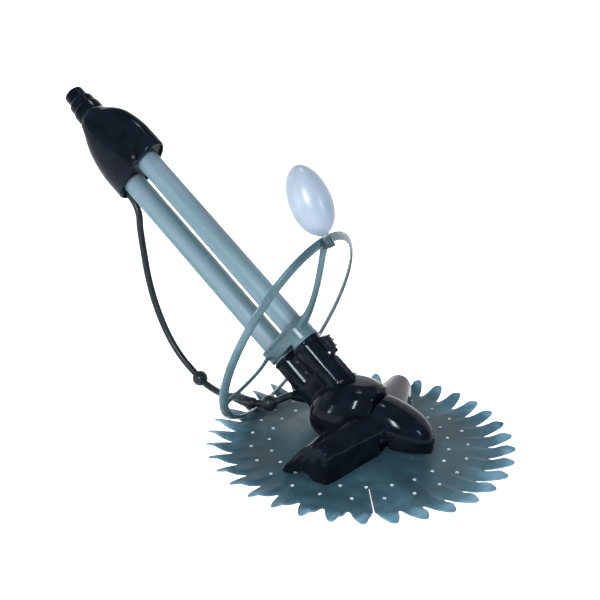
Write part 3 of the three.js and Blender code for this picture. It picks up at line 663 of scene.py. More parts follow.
def dome_obj(name, d, n=96, low=36.0):
    rows = []
    P = np.array(DOME, float)
    zs = np.r_[np.linspace(low, 46, 6)[:-1], np.linspace(46, 90, 22)]
    for z in zs:
        z0 = max(z, 36)
        cy, hy, hx, e = [np.interp(z0, P[:, 0], P[:, k]) for k in range(1, 5)]
        x, y = sup_ring(hx + d, hy + d, e, n)
        zz = z if z > low + 1e-6 else low - d
        if z > 89.9:
            zz = z + d
        rows.append(np.stack([x, cy + y, np.full(n, zz)], axis=1))
    # a rounded crown
    cy, hy, hx = 3, 26 + d, 20 + d
    for k, (f, dz) in enumerate(((0.93, 1.2), (0.8, 2.3), (0.6, 3.2), (0.3, 3.9))):
        x, y = sup_ring(hx * f, hy * f, 2, n)
        rows.append(np.stack([x, cy + y, np.full(n, 90 + d + dz * 0.35)], axis=1))
    return loft_obj(name, rows, "black")


def stack_cyl(name, r, w, s0, s1, seg=72, x=0.0):
    return cyl_obj(name, r, ST(x, w, s0), ST(x, w, s1), "black", seg)


core = [stack_cyl("c1", 21.9, 20.6, -56, 35), stack_cyl("c2", 19.4, -23.4, -56, 41), box_obj("c3", -14, 14, -25, 25, -50, 31, stack=True),
        box_obj("c4", -20.4, 20.4, -26, 24, -60, -8, stack=True), box_obj("c5", -2.6, 2.6, 30, 47.2, -48, -9, stack=True),
        box_obj("c6", -1.5, 1.5, 36, 44.0, -12, 33.5, stack=True), dome_obj("c7", 0.0),
        # stiffening ribs between the two sockets and on the rear of the lower one
        box_obj("c8", -15.6, 15.6, -3, 3, -50, 24, stack=True), box_obj("c9", -1.5, 1.5, -45.0, -38, -40, 36, stack=True),
        stack_cyl("c10", 23.0, 20.6, 31, 35), stack_cyl("c11", 20.4, -23.4, 37, 41)]
body = join("head_shell", core, "black")
fuse(body, 1.0, 6, "black", 0.5)
lim = box_obj("lim", -90, 90, -31, 200, 36, 260)
boolean(body, [lim], "INTERSECT")
cut = [stack_cyl("k1", 17.5, TW, 8.6, 60), stack_cyl("k3", 15.25, TW, -24, 12), stack_cyl("k4", 15.25, -TW, -24, 12), stack_cyl("k2", 17.5, -TW, 8.6, 60)]
dk = [(-28, -14), (28, -14), (28, -20), (17, -60), (15, -70), (-15, -70), (-17, -60), (-28, -20)]
rows = [np.array([ST(x, w, s) for w, s in dk]) for x in (-16.5, 16.5)]
cut.append(loft_obj("k5", rows, "black"))
cut.append(cyl_obj("k6", 24, (0, 0, 30), (0, 0, 52), "black", 64))
sl = cyl_obj("k7", 16.4, ST(0, 0, -60), ST(0, 0, -92), "black", 56)
cut.append(sl)
for w, s in ((0, 22), (0, 2), (36, -40), (-14, -52)):
    cut.append(cyl_obj("ks", 1.9, ST(-60, w, s), ST(16, w, s), "black", 20))
cut.append(cyl_obj("kp", 2.8, ST(-21.5, 0, -60), ST(21.5, 0, -60), "black", 32))
tool = cut[0]
boolean(tool, cut[1:], "UNION")
boolean(body, [tool])
for sg, nm in ((-1, "left"), (1, "right")):
    h = body.copy()
    h.data = body.data.copy()
    h.name = "head_half_" + nm
    h.data.name = h.name
    bpy.context.scene.collection.objects.link(h)
    half = box_obj("half", *((-120, -0.16) if sg < 0 else (0.16, 120)), -80, 220, 0, 260)
    boolean(h, [half], "INTERSECT")
    # the latch's ear
    x0, x1 = (-7.4, -4.8) if sg < 0 else (4.8, 7.4)
    ear = box_obj("ear", x0, x1, 38, 50.5, -4.5, 4.5, stack=True, bev=0.9)
    boolean(ear, [stack_cyl("kb", 21.6, 20.6, -20, 20), cyl_obj("ke", 1.9, ST(-12, 46.6, 0), ST(12, 46.6, 0), "black", 24)])
    boolean(h, [ear], "UNION")
    finish_mesh(h, "black", True, 42)
    rides(h, ROOT, ["body_" + nm])
drop(body)

# ------------------------------------------------------------------ foot
fc = [(27, 2.6), (45.2, 2.6), (45.2, 14.3), (54.5, 14.3), (55.8, 19.8), (59, 20.6), (60.0, 24.8), (63, 25.6), (64, 29.8), (67.2, 30.6), (68, 35.6), (27, 35.6)]
rides(lathe_obj("stepped_foot_collar", rounded(fc, [0.5, 0.5, 0.2, 1.2, 1.6, 0.8, 1.6, 0.8, 1.6, 0.8, 1.5, 0.5], 4), (0, 0, 0), (0, 0, 1), "black", 112), ROOT, ["foot_collar"])
pad = lathe_obj("foot_pad_ring", rounded([(28, 0.8), (45.7, 0.8), (45.7, 0), (64, 0), (66, 2), (66, 9.4), (45.7, 9.4), (45.7, 2.2), (28, 2.2)], [0.3, 0, 0, 0.8, 0.8, 0.8, 0, 0, 0.3], 3), (0, 0, 0), (0, 0, 1), "pad", 96)
tools = []
for i in range(6):
    g = box_obj("g", -3, 3, 50, 80, -1, 4)
    a = i * math.pi / 3 + math.pi / 6
    me = g.data
    R = Matrix.Translation((0, -YC / 1000, 0)) @ Matrix.Rotation(a, 4, "Z") @ Matrix.Translation((0, YC / 1000, 0))
    me.transform(R)
    tools.append(g)
for i in range(3):
    a = rad(90 + 120 * i)
    tools.append(cyl_obj("g", 1.9, (36 * math.cos(a), 36 * math.sin(a), -1), (36 * math.cos(a), 36 * math.sin(a), 12), "pad", 24))
boolean(pad, tools)
finish_mesh(pad, "pad", True, 35)
rides(pad, ROOT, ["foot_pad"])


# ------------------------------------------------------------------ skirt disc
def make_disc():
    nf, per = 36, 22
    phase = -56.5
    # outline of one fin: angle from its middle (degrees) against the outer radius
    fa = np.array([-5.0, -4.7, -4.35, -4.0, -3.7, -3.4, -3.0, -2.6, -2.2, -1.8, -1.4, -0.9, -0.35, 0.2, 0.7, 1.3, 1.9, 2.6, 3.2, 3.75, 4.2, 4.65])
    fr = np.array([172.6, 172.8, 173.5, 175.2, 178.4, 183, 188.4, 193.4, 198.2, 202.4, 206, 208.8, 209.9, 209.4, 207.4, 203.6, 199.2, 193, 186.6, 179.6, 175.2, 173])
    R, A, Z, F = [], [], [], []
    nv = 20
    v = np.linspace(0, 1, nv)
    inner = np.array([46.3, 50, 55, 60, 63, 66, 70, 76, 84, 92, 100, 107, 111, 115, 120, 127, 134, 141, 147])
    nr = len(inner) + nv - 1
    rng = np.random.default_rng(7)
    wob = rng.normal(0, 1, (nf, 3))
    top, bot = [], []
    for k in range(nf):
        for j in range(per):
            ang = phase + 5 + 10 * k + fa[j]
            ro = fr[j] + (0.5 * wob[k, 2] if abs(fa[j]) < 2.5 else 0) * 0
            r = np.r_[inner, 147 + (ro - 147) * v[1:] ** 0.92]
            a = np.full(nr, ang)
            # blades bend a little sideways towards their tips
            lean = np.clip((r - 176) / 34, 0, 1) ** 1.5
            a = a + lean * 1.0
            t = fa[j] / 5.0
            # a shallow valley and ridge that grows from the flat web out to the blade
            amp = np.clip((r - 140) / 32, 0, 1) ** 1.4 * 2.0 + np.clip((r - 174) / 20, 0, 1) * 4.8
            saw = np.where(t < 0.4, (t + 1) / 1.4, np.clip((1 - t) / 0.6, 0, 1) ** 1.6)      # 0 at the notch, 1 at the ridge
            saw = saw ** 1.25
            rise = np.clip((r - 172) / 38, 0, None) ** 1.25 * 5.0
            z_top = np.interp(r, [46, 62, 66, 110, 116, 300], [13.6, 13.6, 13.2, 4.35, 3.6, 3.6]) + rise + amp * saw - np.clip((r - 150) / 30, 0, 1) * 0.35
            th = np.interp(r, [46, 64, 112, 150, 172, 205, 210], [3.6, 3.6, 3.5, 3.2, 3.0, 2.0, 1.6])
            z_bot = z_top - th
            z_bot = np.maximum(z_bot, np.where(r < 114, z_top - 3.6, 0.0))
            z_bot = np.where((r > 112) & (r < 165), 0.0, z_bot)
            z_bot = np.maximum(z_bot, 0.0)
            rr = rad(1) * a
            x, y = r * np.sin(rr), -r * np.cos(rr)
            top.append(np.stack([x, y, z_top], 1))
            bot.append(np.stack([x, y, z_bot], 1))
    top, bot = np.array(top), np.array(bot)
    na = nf * per
    # top and bottom skins, joined by a band along the rim and one along the inner edge
    nt_ = na * nr
    V = np.concatenate([top.reshape(-1, 3), bot.reshape(-1, 3)])
    F = []
    for i in range(na):
        i2 = (i + 1) % na
        for j in range(nr - 1):
            F.append((i * nr + j, i2 * nr + j, i2 * nr + j + 1, i * nr + j + 1))
            F.append((nt_ + i * nr + j, nt_ + i * nr + j + 1, nt_ + i2 * nr + j + 1, nt_ + i2 * nr + j))
        F.append((i * nr + nr - 1, i2 * nr + nr - 1, nt_ + i2 * nr + nr - 1, nt_ + i * nr + nr - 1))
        F.append((i * nr, nt_ + i * nr, nt_ + i2 * nr, i2 * nr))
    ob = mesh_obj("skirt_disc_fins", M(V), F, "disc", sharp=48)
    tools = []
    for k in range(24):
        for rr, off in ((123.5, 2.0), (149.0, 9.5)):
            a = rad(15 * k + off)
            p = np.array([rr * math.sin(a), -rr * math.cos(a), 0])
            tools.append(cyl_obj("h", 1.75, p + [0, 0, -3], p + [0, 0, 12], "disc", 14))
    h = join("holes", tools, "disc")
    a = rad(-56.5)
    d = np.array([math.sin(a), -math.cos(a), 0])
    n = np.array([math.cos(a), math.sin(a), 0])
    pts = []
    for rr in (121, 177):
        wd = 0.75 if rr < 150 else 1.1
        for q in (-wd, wd):
            for z in (-2, 12):
                pts.append(d * rr + n * q + [0, 0, z])
    s = mesh_obj("slit", M(np.array(pts)), [(0, 1, 3, 2), (4, 6, 7, 5), (0, 4, 5, 1), (2, 3, 7, 6), (0, 2, 6, 4), (1, 5, 7, 3)], "disc", False, 0)
    boolean(ob, [h, s])
    finish_mesh(ob, "disc", True, 48)
    return ob


disc = make_disc()
rides(disc, "skirt_disc", ["disc"])
# raised eyelet rings in the pale material, a painted light dot at each hole
pips = []
for k in range(24):
    for rr, off in ((123.5, 2.0), (149.0, 9.5)):
        a = rad(15 * k + off)
        ring = rounded([(1.5, 3.0), (2.2, 3.0), (2.2, 4.2), (1.5, 4.2)], [0, 0, 0.25, 0.25], 3)
        pips.append(lathe_obj("pip", ring, (rr * math.sin(a), -rr * math.cos(a), 0), (0, 0, 1), "pip", 16))
pips = join("disc_eyelets", pips, "pip")
rides(pips, "skirt_disc")


# ------------------------------------------------------------------ nose bonnet
NOSE = [(-31.6, 35.0, 76.0), (-45, 34.6, 74.6), (-60, 33.4, 70.4), (-74, 31.0, 65.2), (-86, 27.4, 59.4), (-96, 22.2, 51.6), (-103, 16.0, 43.6), (-107.4, 9.5, 35.0)]


def nose_obj(name, d, n=96):
    P = spline([(a, b, c) for a, b, c in NOSE], 34)
    rows = []
    for i, (y, hx, zt) in enumerate(P):
        if i == 0:
            y = -31.6 + (20 if d < 0 else (d if d > 0 else 0))
        hx2, zt2 = max(hx + d, 0.8), zt + d
        zb = 12.5 - (30 if d < 0 else d)
        yy = y - (d if y < -100 else 0)
        t = np.arange(n) * 2 * math.pi / n
        c, s = np.cos(t), np.sin(t)
        x = hx2 * np.sign(c) * np.abs(c) ** 0.8
        v = np.abs(s) ** 0.8
        z = np.where(s >= 0, 26 + (zt2 - 26) * v, 26 - (26 - zb) * v)
        rows.append(np.stack([x, np.full(n, yy), z], 1))
    last = rows[-1]
    c = np.array([0, -109 - d, 27.0])
    for f, g in ((0.72, 0.55), (0.4, 0.85)):
        r = c + (last - c) * f
        r[:, 1] = last[0, 1] + (c[1] - last[0, 1]) * g
        rows.append(r)
    k = len(rows)
    ob = loft_obj(name, rows, "black")
    return ob


def feet_obj(name, gap, rmax=240):
    pr = [(0, -4), (rmax, -4), (rmax, 3.6 + gap), (114, 3.6 + gap), (64, 13.6 + gap), (0, 13.6 + gap)]
    u = [(r, z) for r, z in pr]
    rows = []
    t = np.arange(96) * 2 * math.pi / 96
    for r, z in u:
        rr = max(r, 1e-3)
        rows.append(np.stack([rr * np.cos(t), rr * np.sin(t), np.full(96, z)], 1))
    return loft_obj(name, rows, "black")


nose = nose_obj("nose_bonnet", 0)
boolean(nose, [nose_obj("ni", -2.4), feet_obj("nf", 1.3), dome_obj("nd", 0.5, low=30.0), cyl_obj("nc", 69, (0, 0, 0), (0, 0, 36.3), "black", 112)])


def keep_largest(ob):
    me = ob.data
    bm = bmesh.new()
    bm.from_mesh(me)
    seen, best = set(), []
    for f in bm.faces:
        if f in seen:
            continue
        comp, stack = [], [f]
        seen.add(f)
        while stack:
            g = stack.pop()
            comp.append(g)
            for e in g.edges:
                for h in e.link_faces:
                    if h not in seen:
                        seen.add(h)
                        stack.append(h)
        if len(comp) > len(best):
            best = comp
    keep = set(best)
    bmesh.ops.delete(bm, geom=[f for f in bm.faces if f not in keep], context="FACES")
    bm.to_mesh(me)
    bm.free()


keep_largest(nose)
finish_mesh(nose, "black", True, 40)
rides(nose, ROOT, ["nose_cover"])


# ------------------------------------------------------------------ side hoods
def hood_outline(x, d, low):
    u = (x - 24) / 104
    yf, yr, h, yc, zb = -60 + 37 * u + d, 44 - d, 62 - 9 * u - d, -18 + 15 * u, 4.0
    L = yr - yc
    H = h - zb
    pts = [(yf + 0.9, zb), (yf, zb + 0.30 * H), (yf + 0.4, zb + 0.60 * H), (yf + 3.4, zb + 0.82 * H), (yf + 0.52 * (yc - yf), zb + 0.965 * H),
           (yc, h), (yc + 0.22 * L, zb + 0.93 * H), (yc + 0.45 * L, zb + 0.74 * H), (yc + 0.68 * L, zb + 0.47 * H), (yc + 0.88 * L, zb + 0.20 * H), (yr, zb)]
    o = spline(pts, 60)
    yy = np.linspace(yr, yf + 0.9, 14)[1:-1]
    o = np.concatenate([[(o[0][0], low)], o, [(o[-1][0], low)], np.stack([yy, np.full(12, low)], 1)])
    return o


def hood_solid(name, stations, low):
    rows = []
    for x, xs, d in stations:
        o = hood_outline(xs, d, low)
        rows.append(np.stack([np.full(len(o), x), o[:, 0], o[:, 1]], 1))
    return loft_obj(name, rows, "black", sharp=40)


def hood(sign, name, node):
    xs = list(np.linspace(24, 125.4, 26))
    st = [(x, x, 0.0) for x in xs] + [(126.6, 126.6, 0.12), (127.5, 127.5, 0.5), (128, 128, 1.3)]
    o = hood_solid("ho", st, -6)
    i = hood_solid("hi", [(x, x, 2.6) for x in np.linspace(10, 123.6, 24)] + [(124.7, 124.7, 3.2), (125.3, 125.3, 4.4)], -20)
    arch = cyl_obj("ha", 19.3, (118, 14, -5.6), (140, 14, -5.6), "black", 72)
    boolean(o, [i, feet_obj("hf", 1.5), arch, dome_obj("hd", 0.5, low=30.0), nose_obj("hn", 0.6), cyl_obj("hc", 68.8, (0, 0, -8), (0, 0, 36.2), "black", 112)])
    keep_largest(o)
    if sign < 0:
        # mirror in the plane x = 0
        for v in o.data.vertices:
            v.co.x = -v.co.x
        o.data.flip_normals()
    o.name = name
    o.data.name = name
    # smooth shading, with sharp edges above 40 degrees
    finish_mesh(o, "black", True, 40)
    rides(o, ROOT, [node])
    return o


hood(-1, "left_side_hood", "hood_left")
hood(1, "right_side_hood", "hood_right")

# ------------------------------------------------------------------ deflector wheel
yaw, wt = rad(3.0), rad(23.77)
RZ = np.array([[math.cos(yaw), -math.sin(yaw), 0], [math.sin(yaw), math.cos(yaw), 0], [0, 0, 1]])
WX = RZ @ np.array([1.0, 0, 0])
WW = RZ @ np.array([0, -math.sin(wt), math.cos(wt)])
WN = RZ @ np.array([0, -math.cos(wt), -math.sin(wt)])
WC = np.array([0, 108.5, 146.3])
WR = 148.0


def rim(al, r=WR, k=0.0):
    return WC + WX * r * math.cos(rad(al)) + WW * r * math.sin(rad(al)) + WN * k


sec = [(6.4 * math.cos(t), 2.45 * math.sin(t)) for t in np.arange(36) * 2 * math.pi / 36]
rows = []
for u, v in sec:
    r_, k_ = WR + 0.8 * u + 0.6 * v, -0.6 * u + 0.8 * v
    rows.append(np.array([WC + (WX * math.cos(t) + WW * math.sin(t)) * r_ + WN * k_ for t in np.arange(200) * 2 * math.pi / 200]))
rim_ob = loft_obj("w1", rows, "wheel", closed=True)


def race(r, half, n=30, wo=0.0):
    t = np.linspace(-math.pi / 2, math.pi / 2, n)
    a = np.stack([half + r * np.cos(t) + wo, r * np.sin(t)], 1)
    t2 = np.linspace(math.pi / 2, 3 * math.pi / 2, n)
    b = np.stack([-half + r * np.cos(t2) + wo, r * np.sin(t2)], 1)
    return np.concatenate([a, b])


def race_obj(name, prof, half, mat, closed):
    rows = [np.array([ST(x, w, s) for w, x in race(r, half)]) for r, s in prof]
    return loft_obj(name, rows, mat, closed=closed, caps=not closed)


hub = race_obj("w2", [(20.3, 44), (20.6, 45), (20.6, 58), (21.4, 60.5), (22.8, 62.2), (23.1, 64), (22.6, 66)], TW, "wheel", False)
col = cyl_obj("w3", 20.6, ST(0, TW, 35.7), ST(0, TW, 46), "wheel", 72)
col2 = cyl_obj("w4", 21.5, ST(0, TW, 35.7), ST(0, TW, 38.2), "wheel", 72)


def spoke(name, al, hx, hw, hs, bow, hub_flare, rim_flare, sec2):
    p2, p0 = rim(al, WR - 2.5), ST(hx, hw, hs)
    mid = p0 * 0.55 + p2 * 0.45 + WN * bow
    path = spline([p0, p0 * 0.5 + mid * 0.5 + WN * bow * 0.35, mid, mid * 0.5 + p2 * 0.5 + WN * bow * 0.15, p2], 44)
    u = np.linspace(0, 1, 44)
    fl = 1 + (hub_flare - 1) * np.clip(1 - u / 0.38, 0, 1) ** 2.2 + (rim_flare - 1) * np.clip((u - 0.82) / 0.18, 0, 1) ** 2
    base = circ(1.0, 20)
    rows = []
    T, U, V = frames(path, WN)
    for i in range(len(path)):
        rows.append(path[i] + np.outer(base[:, 0] * sec2[0] * (1 + (fl[i] - 1) * 0.35), U[i]) + np.outer(base[:, 1] * sec2[1] * fl[i], V[i]))
    return loft_obj(name, rows, "wheel")


sp = [spoke("s1", 95, -2, 41, 56, 6, 2.6, 1.5, (4.4, 5.4)), spoke("s2", 213, -14, -33, 58, 4, 1.9, 1.6, (2.6, 3.4)), spoke("s3", 335, 17, 16, 56, 4, 2.0, 1.6, (2.8, 3.8))]
wheel = join("deflector_wheel_moulding", [rim_ob, hub, col, col2] + sp, "wheel")
fuse(wheel, 0.95, 3, "wheel", 0.5)
boolean(wheel, [race_obj("wi", [(17.55, 30), (17.55, 72)], TW, "wheel", False), cyl_obj("wj", 17.55, ST(0, TW, 30), ST(0, TW, 72), "wheel", 72)])
keep_largest(wheel)
finish_mesh(wheel, "wheel", True, 50)
rides(wheel, ROOT, ["deflector_wheel"])

# ------------------------------------------------------------------ float and its clip
FA = np.array([-18.56353, 43.61935, 288.72421])
FD = np.array([-0.0201405, 0.4430903, 0.8962507])
L, A = 96.0, 27.6
zc = 2 + L / 2
pr = [(2.2, -11), (4.2, -11), (4.6, -10.6), (4.6, 1.0), (5.4, 2.2), (7.4, 3.1)]
T_ = np.linspace(math.pi * 1.5 / 15, math.pi, 44)
for t in T_:
    r_, z_ = A * math.sin(t) * (1 + 0.06 * math.cos(t)), zc - L / 2 * math.cos(t)
    if r_ > pr[-1][0] or t > 1:
        pr.append((max(r_, 0.001), z_))
inner_ = []
for t in T_[::-1]:
    r_, z_ = (A - 2.4) * math.sin(t) * (1 + 0.06 * math.cos(t)), zc - (L / 2 - 2.4) * math.cos(t)
    if r_ > 2.6:
        inner_.append((r_, z_))
# outer skin and inner skin meet at the stub's mouth; the tip is closed by points on the axis
prof_o = pr
prof_i = [(0.001, zc + L / 2 - 2.4)] + inner_ + [(2.2, 4.8)]
u_, v_, d_ = basis(FD)
tt = np.arange(72) * 2 * math.pi / 72


def skin(prof):
    return [FA + d_ * z + np.outer(np.cos(tt), u_) * r + np.outer(np.sin(tt), v_) * r for r, z in prof]


rows = skin(prof_o[::-1]) + skin(prof_i[::-1])
# prof_o reversed runs from the tip to the stub's mouth, prof_i reversed from the mouth back to the inner tip
fl = loft_obj("float_bulb", rows, "float", closed=False, caps=True, sharp=50)
rides(fl, "float", ["float"])

c1 = lathe_obj("fc1", [(7.6, -10.6), (7.6, -1.4)], FA, FD, "clip", 48, closed=False)
c2 = lathe_obj("fc2", [(8.3, -4.2), (8.3, -2.2)], FA, FD, "clip", 48, closed=False)


def fa_box(name, x0, x1, y0, y1, z0, z1, mat="clip"):
    pts = [FA + u_ * x + v_ * y + d_ * z for x in (x0, x1) for y in (y0, y1) for z in (z0, z1)]
    return mesh_obj(name, M(np.array(pts)), [(0, 1, 3, 2), (4, 6, 7, 5), (0, 4, 5, 1), (2, 3, 7, 6), (0, 2, 6, 4), (1, 5, 7, 3)], mat, False, 0)


c3 = fa_box("fc3", -6.5, 6.5, -5.5, 5.5, -16, -9.0)
clip = join("float_rim_clip", [c1, c2, c3], "clip")
fuse(clip, 0.5, 4, "clip", 0.5)
rows = []
for u, v in [(-6.7, -2.4), (6.7, -2.4), (6.7, 2.4), (-6.7, 2.4)]:
    r_, k_ = WR + 0.8 * u + 0.6 * v, -0.6 * u + 0.8 * v
    rows.append(np.array([WC + (WX * math.cos(t) + WW * math.sin(t)) * r_ + WN * k_ for t in np.arange(200) * 2 * math.pi / 200]))
boolean(clip, [lathe_obj("fb", [(5.0, -12.5), (5.0, 4)], FA, FD, "clip", 48, closed=False), loft_obj("fr", rows, "clip", closed=True)])
keep_largest(clip)
finish_mesh(clip, "clip", True, 45)
rides(clip, ROOT, ["float_clip"])

# ------------------------------------------------------------------ latch
LP = [(45.0, -2.6), (48.6, -2.6), (51.5, 1.2), (58.6, 1.6), (54.6, 4.6), (55.2, 9.0), (61.4, 9.6), (57.0, 12.6), (56.6, 17.0), (60.4, 19.6), (54.8, 20.4), (49.8, 24.6), (47.2, 24.6), (44.2, 22.6), (44.2, 2)]


def stack_prism(name, pts, x0, x1, mat="black", bev=0.0):
    rows = [np.array([ST(x, w, s) for w, s in pts]) for x in (x0, x1)]
    n = len(pts)
    v = np.concatenate(rows)
    f = [tuple(range(n))[::-1], tuple(range(n, 2 * n))] + [(i, (i + 1) % n, n + (i + 1) % n, n + i) for i in range(n)]
    ob = mesh_obj(name, M(v), f, mat, False, 0)
    if bev:
        m = ob.modifiers.new("v", "BEVEL")
        m.width = bev / 1000
        m.segments = 3
        apply_mods(ob)
    return ob


lt = stack_prism("toothed_latch", rounded(LP, 0.7, 3), -4.3, 4.3, "black")
boolean(lt, [stack_cyl("lb", 0.01, 0, 0, 1)] if False else [cyl_obj("lh", 3.2, ST(-4.3, 46.6, 0), ST(4.3, 46.6, 0), "black", 40)], "UNION")
wins = [stack_prism("lw", rounded([(47.2, a), (53.0, a), (53.0, b), (47.2, b)], 0.8, 3), -9, 9) for a, b in ((4.6, 9.2), (11.6, 16.4))]
boolean(lt, wins + [cyl_obj("lk", 1.85, ST(-12, 46.6, 0), ST(12, 46.6, 0), "black", 32)])
m = lt.modifiers.new("v", "BEVEL")
m.width = 0.00035
m.segments = 2
m.limit_method = "ANGLE"
m.angle_limit = rad(50)
apply_mods(lt)
finish_mesh(lt, "black", True, 40)
rides(lt, "latch", ["wheel_latch"])

# ------------------------------------------------------------------ strap, sleeve, beads, bracket
SP = [ST(0, -46.9, 397.0), ST(0, -47.3, 388), ST(0, -49.5, 376), ST(0, -58, 361), ST(0, -73.5, 347.5), ST(0, -95, 325), ST(0, -122, 295), ST(0, -144, 265), ST(0, -163, 230),
      ST(0, -176, 195), (0, 312, 56), (0, 291, 39), (0, 280, 31), (-1, 268.5, 24.6), (-5, 245, 19.8), (-11, 222, 20.2), (-18, 198, 26.4), (-25, 176, 28.6), (-25.5, 162, 28.6), (-21, 147, 29.4),
      (-16.5, 137.5, 30.6), (-11.5, 126.5, 35), (-6.5, 114.5, 42), (-3, 104, 45.6), (-0.8, 96.8, 45.0)]
SPATH = spline(SP, 260)
strap = loft_obj("bumper_strap_run", sweep_rows(SPATH, circ(5.35, 24), up=(1, 0, 0)), "soft", sharp=60)
rides(strap, ROOT, ["bumper_strap"])


def near(p):
    return int(np.argmin(np.linalg.norm(SPATH - np.asarray(p, float), axis=1)))


B1, D1 = np.array([-0.0007, 279.98455, 30.99013]), np.array([-0.038015, -0.842052, -0.538055])
B2, D2 = np.array([-16.48464, 137.46692, 30.60861]), np.array([0.409823, -0.882591, 0.230387])
for nm, node, c_, t_ in (("rear_bead", "bead_1", B1, D1), ("front_bead", "bead_2", B2, D2)):
    a0 = math.asin(6.9 / 12)
    pr = [(12 * math.sin(a), -12 * math.cos(a)) for a in np.linspace(a0, math.pi - a0, 34)]
    pr += [(6.6, pr[-1][1] - 0.3), (6.4, 0), (6.6, pr[0][1] + 0.3)]
    b = lathe_obj(nm + "_roller", pr, c_, t_, "soft", 64)
    rides(b, nm, [node])
ia, ib = near((-18, 198, 26.4)), near((-24.6, 158, 28.7))
seg = SPATH[ia:ib + 1]
n_ = len(seg)
T, U, V = frames(seg, (1, 0, 0))
rows = []
o8, i8 = circ(8.1, 28), circ(5.9, 28)
prs = []
for k in range(n_):
    prs.append((k, 8.1 - (1.0 if k in (0, n_ - 1) else 0) + 0.25 * math.cos(k * 1.4)))
for k, r_ in prs:
    s_ = circ(r_, 28)
    rows.append(seg[k] + np.outer(s_[:, 0], U[k]) + np.outer(s_[:, 1], V[k]))
for k in range(n_ - 1, -1, -1):
    rows.append(seg[k] + np.outer(i8[:, 0], U[k]) + np.outer(i8[:, 1], V[k]))
slv = loft_obj("strap_wear_sleeve", rows, "soft", closed=True, sharp=50)
rides(slv, ROOT, ["strap_sleeve"])
e_, t_ = SPATH[-1], SPATH[-1] - SPATH[-2]
t_ = t_ / np.linalg.norm(t_)
br = lathe_obj("strap_socket_bracket", rounded([(0.01, -0.2), (5.9, -0.2), (5.9, -9), (7.6, -9), (7.6, 24), (0.01, 24)][::-1], [0, 0.6, 0.9, 0.6, 0.2, 0], 4), e_, t_, "black", 56, closed=False)
boolean(br, [stack_cyl("q1", 19.8, -23.4, -80, 60), box_obj("q2", -21, 21, -40, 24, -80, 10, stack=True), dome_obj("q3", 0.4, low=30.0), cyl_obj("q4", 68.6, (0, 0, 0), (0, 0, 36.3), "black", 96)])
keep_largest(br)
finish_mesh(br, "black", True, 45)
rides(br, ROOT, ["strap_bracket"])


# ------------------------------------------------------------------ fasteners
def screw(name, node, p, d, r_head, h_head, r_shank, L_shank, body=ROOT, cross=True, mat="dark_steel"):
    """p: under the head, d: the way the head points"""
    pr = [(0.01, -L_shank), (r_shank * 0.55, -L_shank), (r_shank, -L_shank + r_shank)]
    k = max(int((L_shank - 2 * r_shank) / 0.8), 1)
    for i in range(k):
        z = -L_shank + r_shank + (i + 0.5) * (L_shank - 1.2 * r_shank) / k
        pr += [(r_shank, z - 0.22), (r_shank * 0.82, z), (r_shank, z + 0.22)]
    pr += [(r_shank, 0), (r_head, 0)]
    for a in np.linspace(0.15, math.pi / 2, 8):
        pr.append((r_head * math.cos(a) if a < math.pi / 2 - 1e-6 else 0.01, h_head * math.sin(a)))
    ob = lathe_obj(name, pr, p, d, mat, 28, closed=False, sharp=40)
    if cross:
        u, v, dd = basis(d, (0.3, 0.5, 0.8))
        p = np.asarray(p, float)
        for a_, b_ in ((u, v), (v, u)):
            pts = [p + a_ * x + b_ * y + dd * z for x in (-r_head * 0.62, r_head * 0.62) for y in (-0.32, 0.32) for z in (h_head * 0.45, h_head + 1)]
            t = mesh_obj("x", M(np.array(pts)), [(0, 1, 3, 2), (4, 6, 7, 5), (0, 4, 5, 1), (2, 3, 7, 6), (0, 2, 6, 4), (1, 5, 7, 3)], "steel", False, 0)
            boolean(ob, [t])
        finish_mesh(ob, mat, True, 40)
    rides(ob, body, [node])
    return ob


XM = np.array([-1.0, 0, 0])
for i, (w, s, xo) in enumerate(((0, 22, -15.6), (0, 2, -15.6), (36, -40, -20.4), (-14, -52, -20.6))):
    screw("head_screw_%d" % (i + 1), "body_screw_%d" % (i + 1), ST(xo - 0.3, w, s), XM, 3.3, 2.0, 1.5, 24)
for sg, nm in ((-1, "left"), (1, "right")):
    screw("bell_set_screw_" + nm, "bell_screw_" + nm, ST(sg * 27.9, 28, 402), XM * -sg, 3.2, 2.2, 1.5, 6.4)
for i in range(3):
    a = rad(90 + 120 * i)
    screw("pad_fixing_screw_%d" % (i + 1), "pad_screw_%d" % (i + 1), (36 * math.cos(a), 36 * math.sin(a), 0.75), (0, 0, -1), 3.3, 0.65, 1.5, 1.6, cross=False, mat="steel")

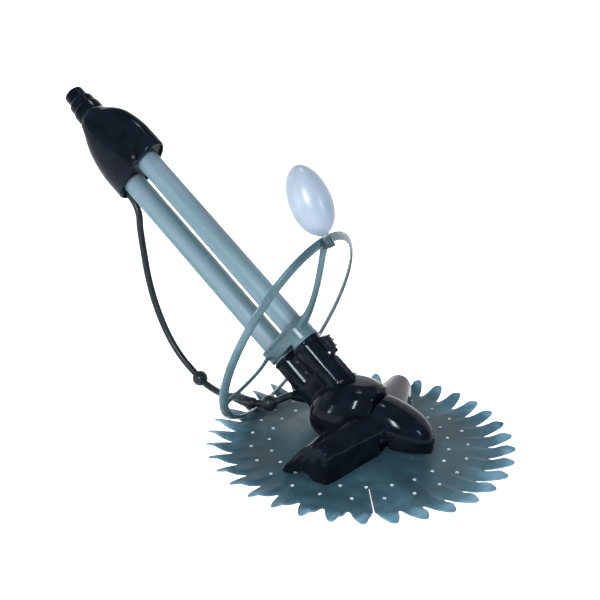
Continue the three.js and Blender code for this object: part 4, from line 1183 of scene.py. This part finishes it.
# ------------------------------------------------------------------ the frame's own pieces that stay
KEEP = {"swivel_nut": "black_satin", "swivel_washer": "soft", "tube_plate": "black_satin", "upper_tube_seal": "soft", "lower_tube_seal": "soft", "upper_tube_gasket": "soft",
        "lower_tube_gasket": "soft", "valve_seat_upper": "soft", "valve_seat_lower": "soft", "flapper": "pad", "flapper_pin": "steel", "latch_pin": "steel", "nose_weight": "ballast"}
for n, m in KEEP.items():
    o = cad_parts[n]
    if not o.material_slots:
        o.data.materials.append(MAT[m])
    for s in o.material_slots:
        s.material = MAT[m]

# ------------------------------------------------------------------ floor and studio light
def white_card(name, strength):
    m, nt, b = new_mat(name)
    col = ramp(nt, noise(nt, 3, 2), [(0.3, (0.97, 0.97, 0.97)), (0.7, (1.0, 1.0, 1.0))])
    nt.links.new(col, b.inputs["Base Color"])
    nt.links.new(col, b.inputs["Emission Color"])
    b.inputs["Emission Strength"].default_value = strength
    b.inputs["Roughness"].default_value = 0.9
    b.inputs["Specular IOR Level"].default_value = 0.1
    return m


def card(name, pts, mat):
    me = bpy.data.meshes.new(name)
    me.from_pydata(pts, [], [(0, 1, 2, 3)])
    o = bpy.data.objects.new(name, me)
    bpy.context.scene.collection.objects.link(o)
    me.materials.append(mat)
    return o


F_ = 4.0
card("floor", [(-F_, -F_, -0.0004), (F_, -F_, -0.0004), (F_, F_, -0.0004), (-F_, F_, -0.0004)], white_card("floor_white", 0.72))
card("backdrop", [(4.0, -3.2, -0.2), (4.0, 4.0, -0.2), (4.0, 4.0, 4.0), (4.0, -3.2, 4.0)], white_card("backdrop_white", 1.0))
card("backdrop_2", [(4.0, 4.0, -0.2), (-2.5, 4.0, -0.2), (-2.5, 4.0, 4.0), (4.0, 4.0, 4.0)], white_card("backdrop_white_2", 1.0))

w = bpy.data.worlds.new("world")
bpy.context.scene.world = w
w.use_nodes = True
bg = w.node_tree.nodes["Background"]
bg.inputs["Color"].default_value = (0.80, 0.92, 1.0, 1)
bg.inputs["Strength"].default_value = 0.30

CEN = (0, -0.05, 0.12)
area("key", (-1.13, -0.33, 0.74), CEN, 0.12, 26, (1, 1, 1), 0.42)
area("side", (-1.35, 0.75, 0.30), CEN, 0.07, 9, (0.92, 0.97, 1), 0.30)
area("front", (-0.25, -1.45, 0.75), (0, -0.15, 0.08), 0.14, 12, (0.70, 0.86, 1), 0.30)
area("top", (0.15, 0.1, 1.9), CEN, 0.3, 9, (1, 1, 1), 0.3)

bpy.context.scene.view_settings.view_transform = "Standard"
bpy.context.scene.view_settings.exposure = 0.0
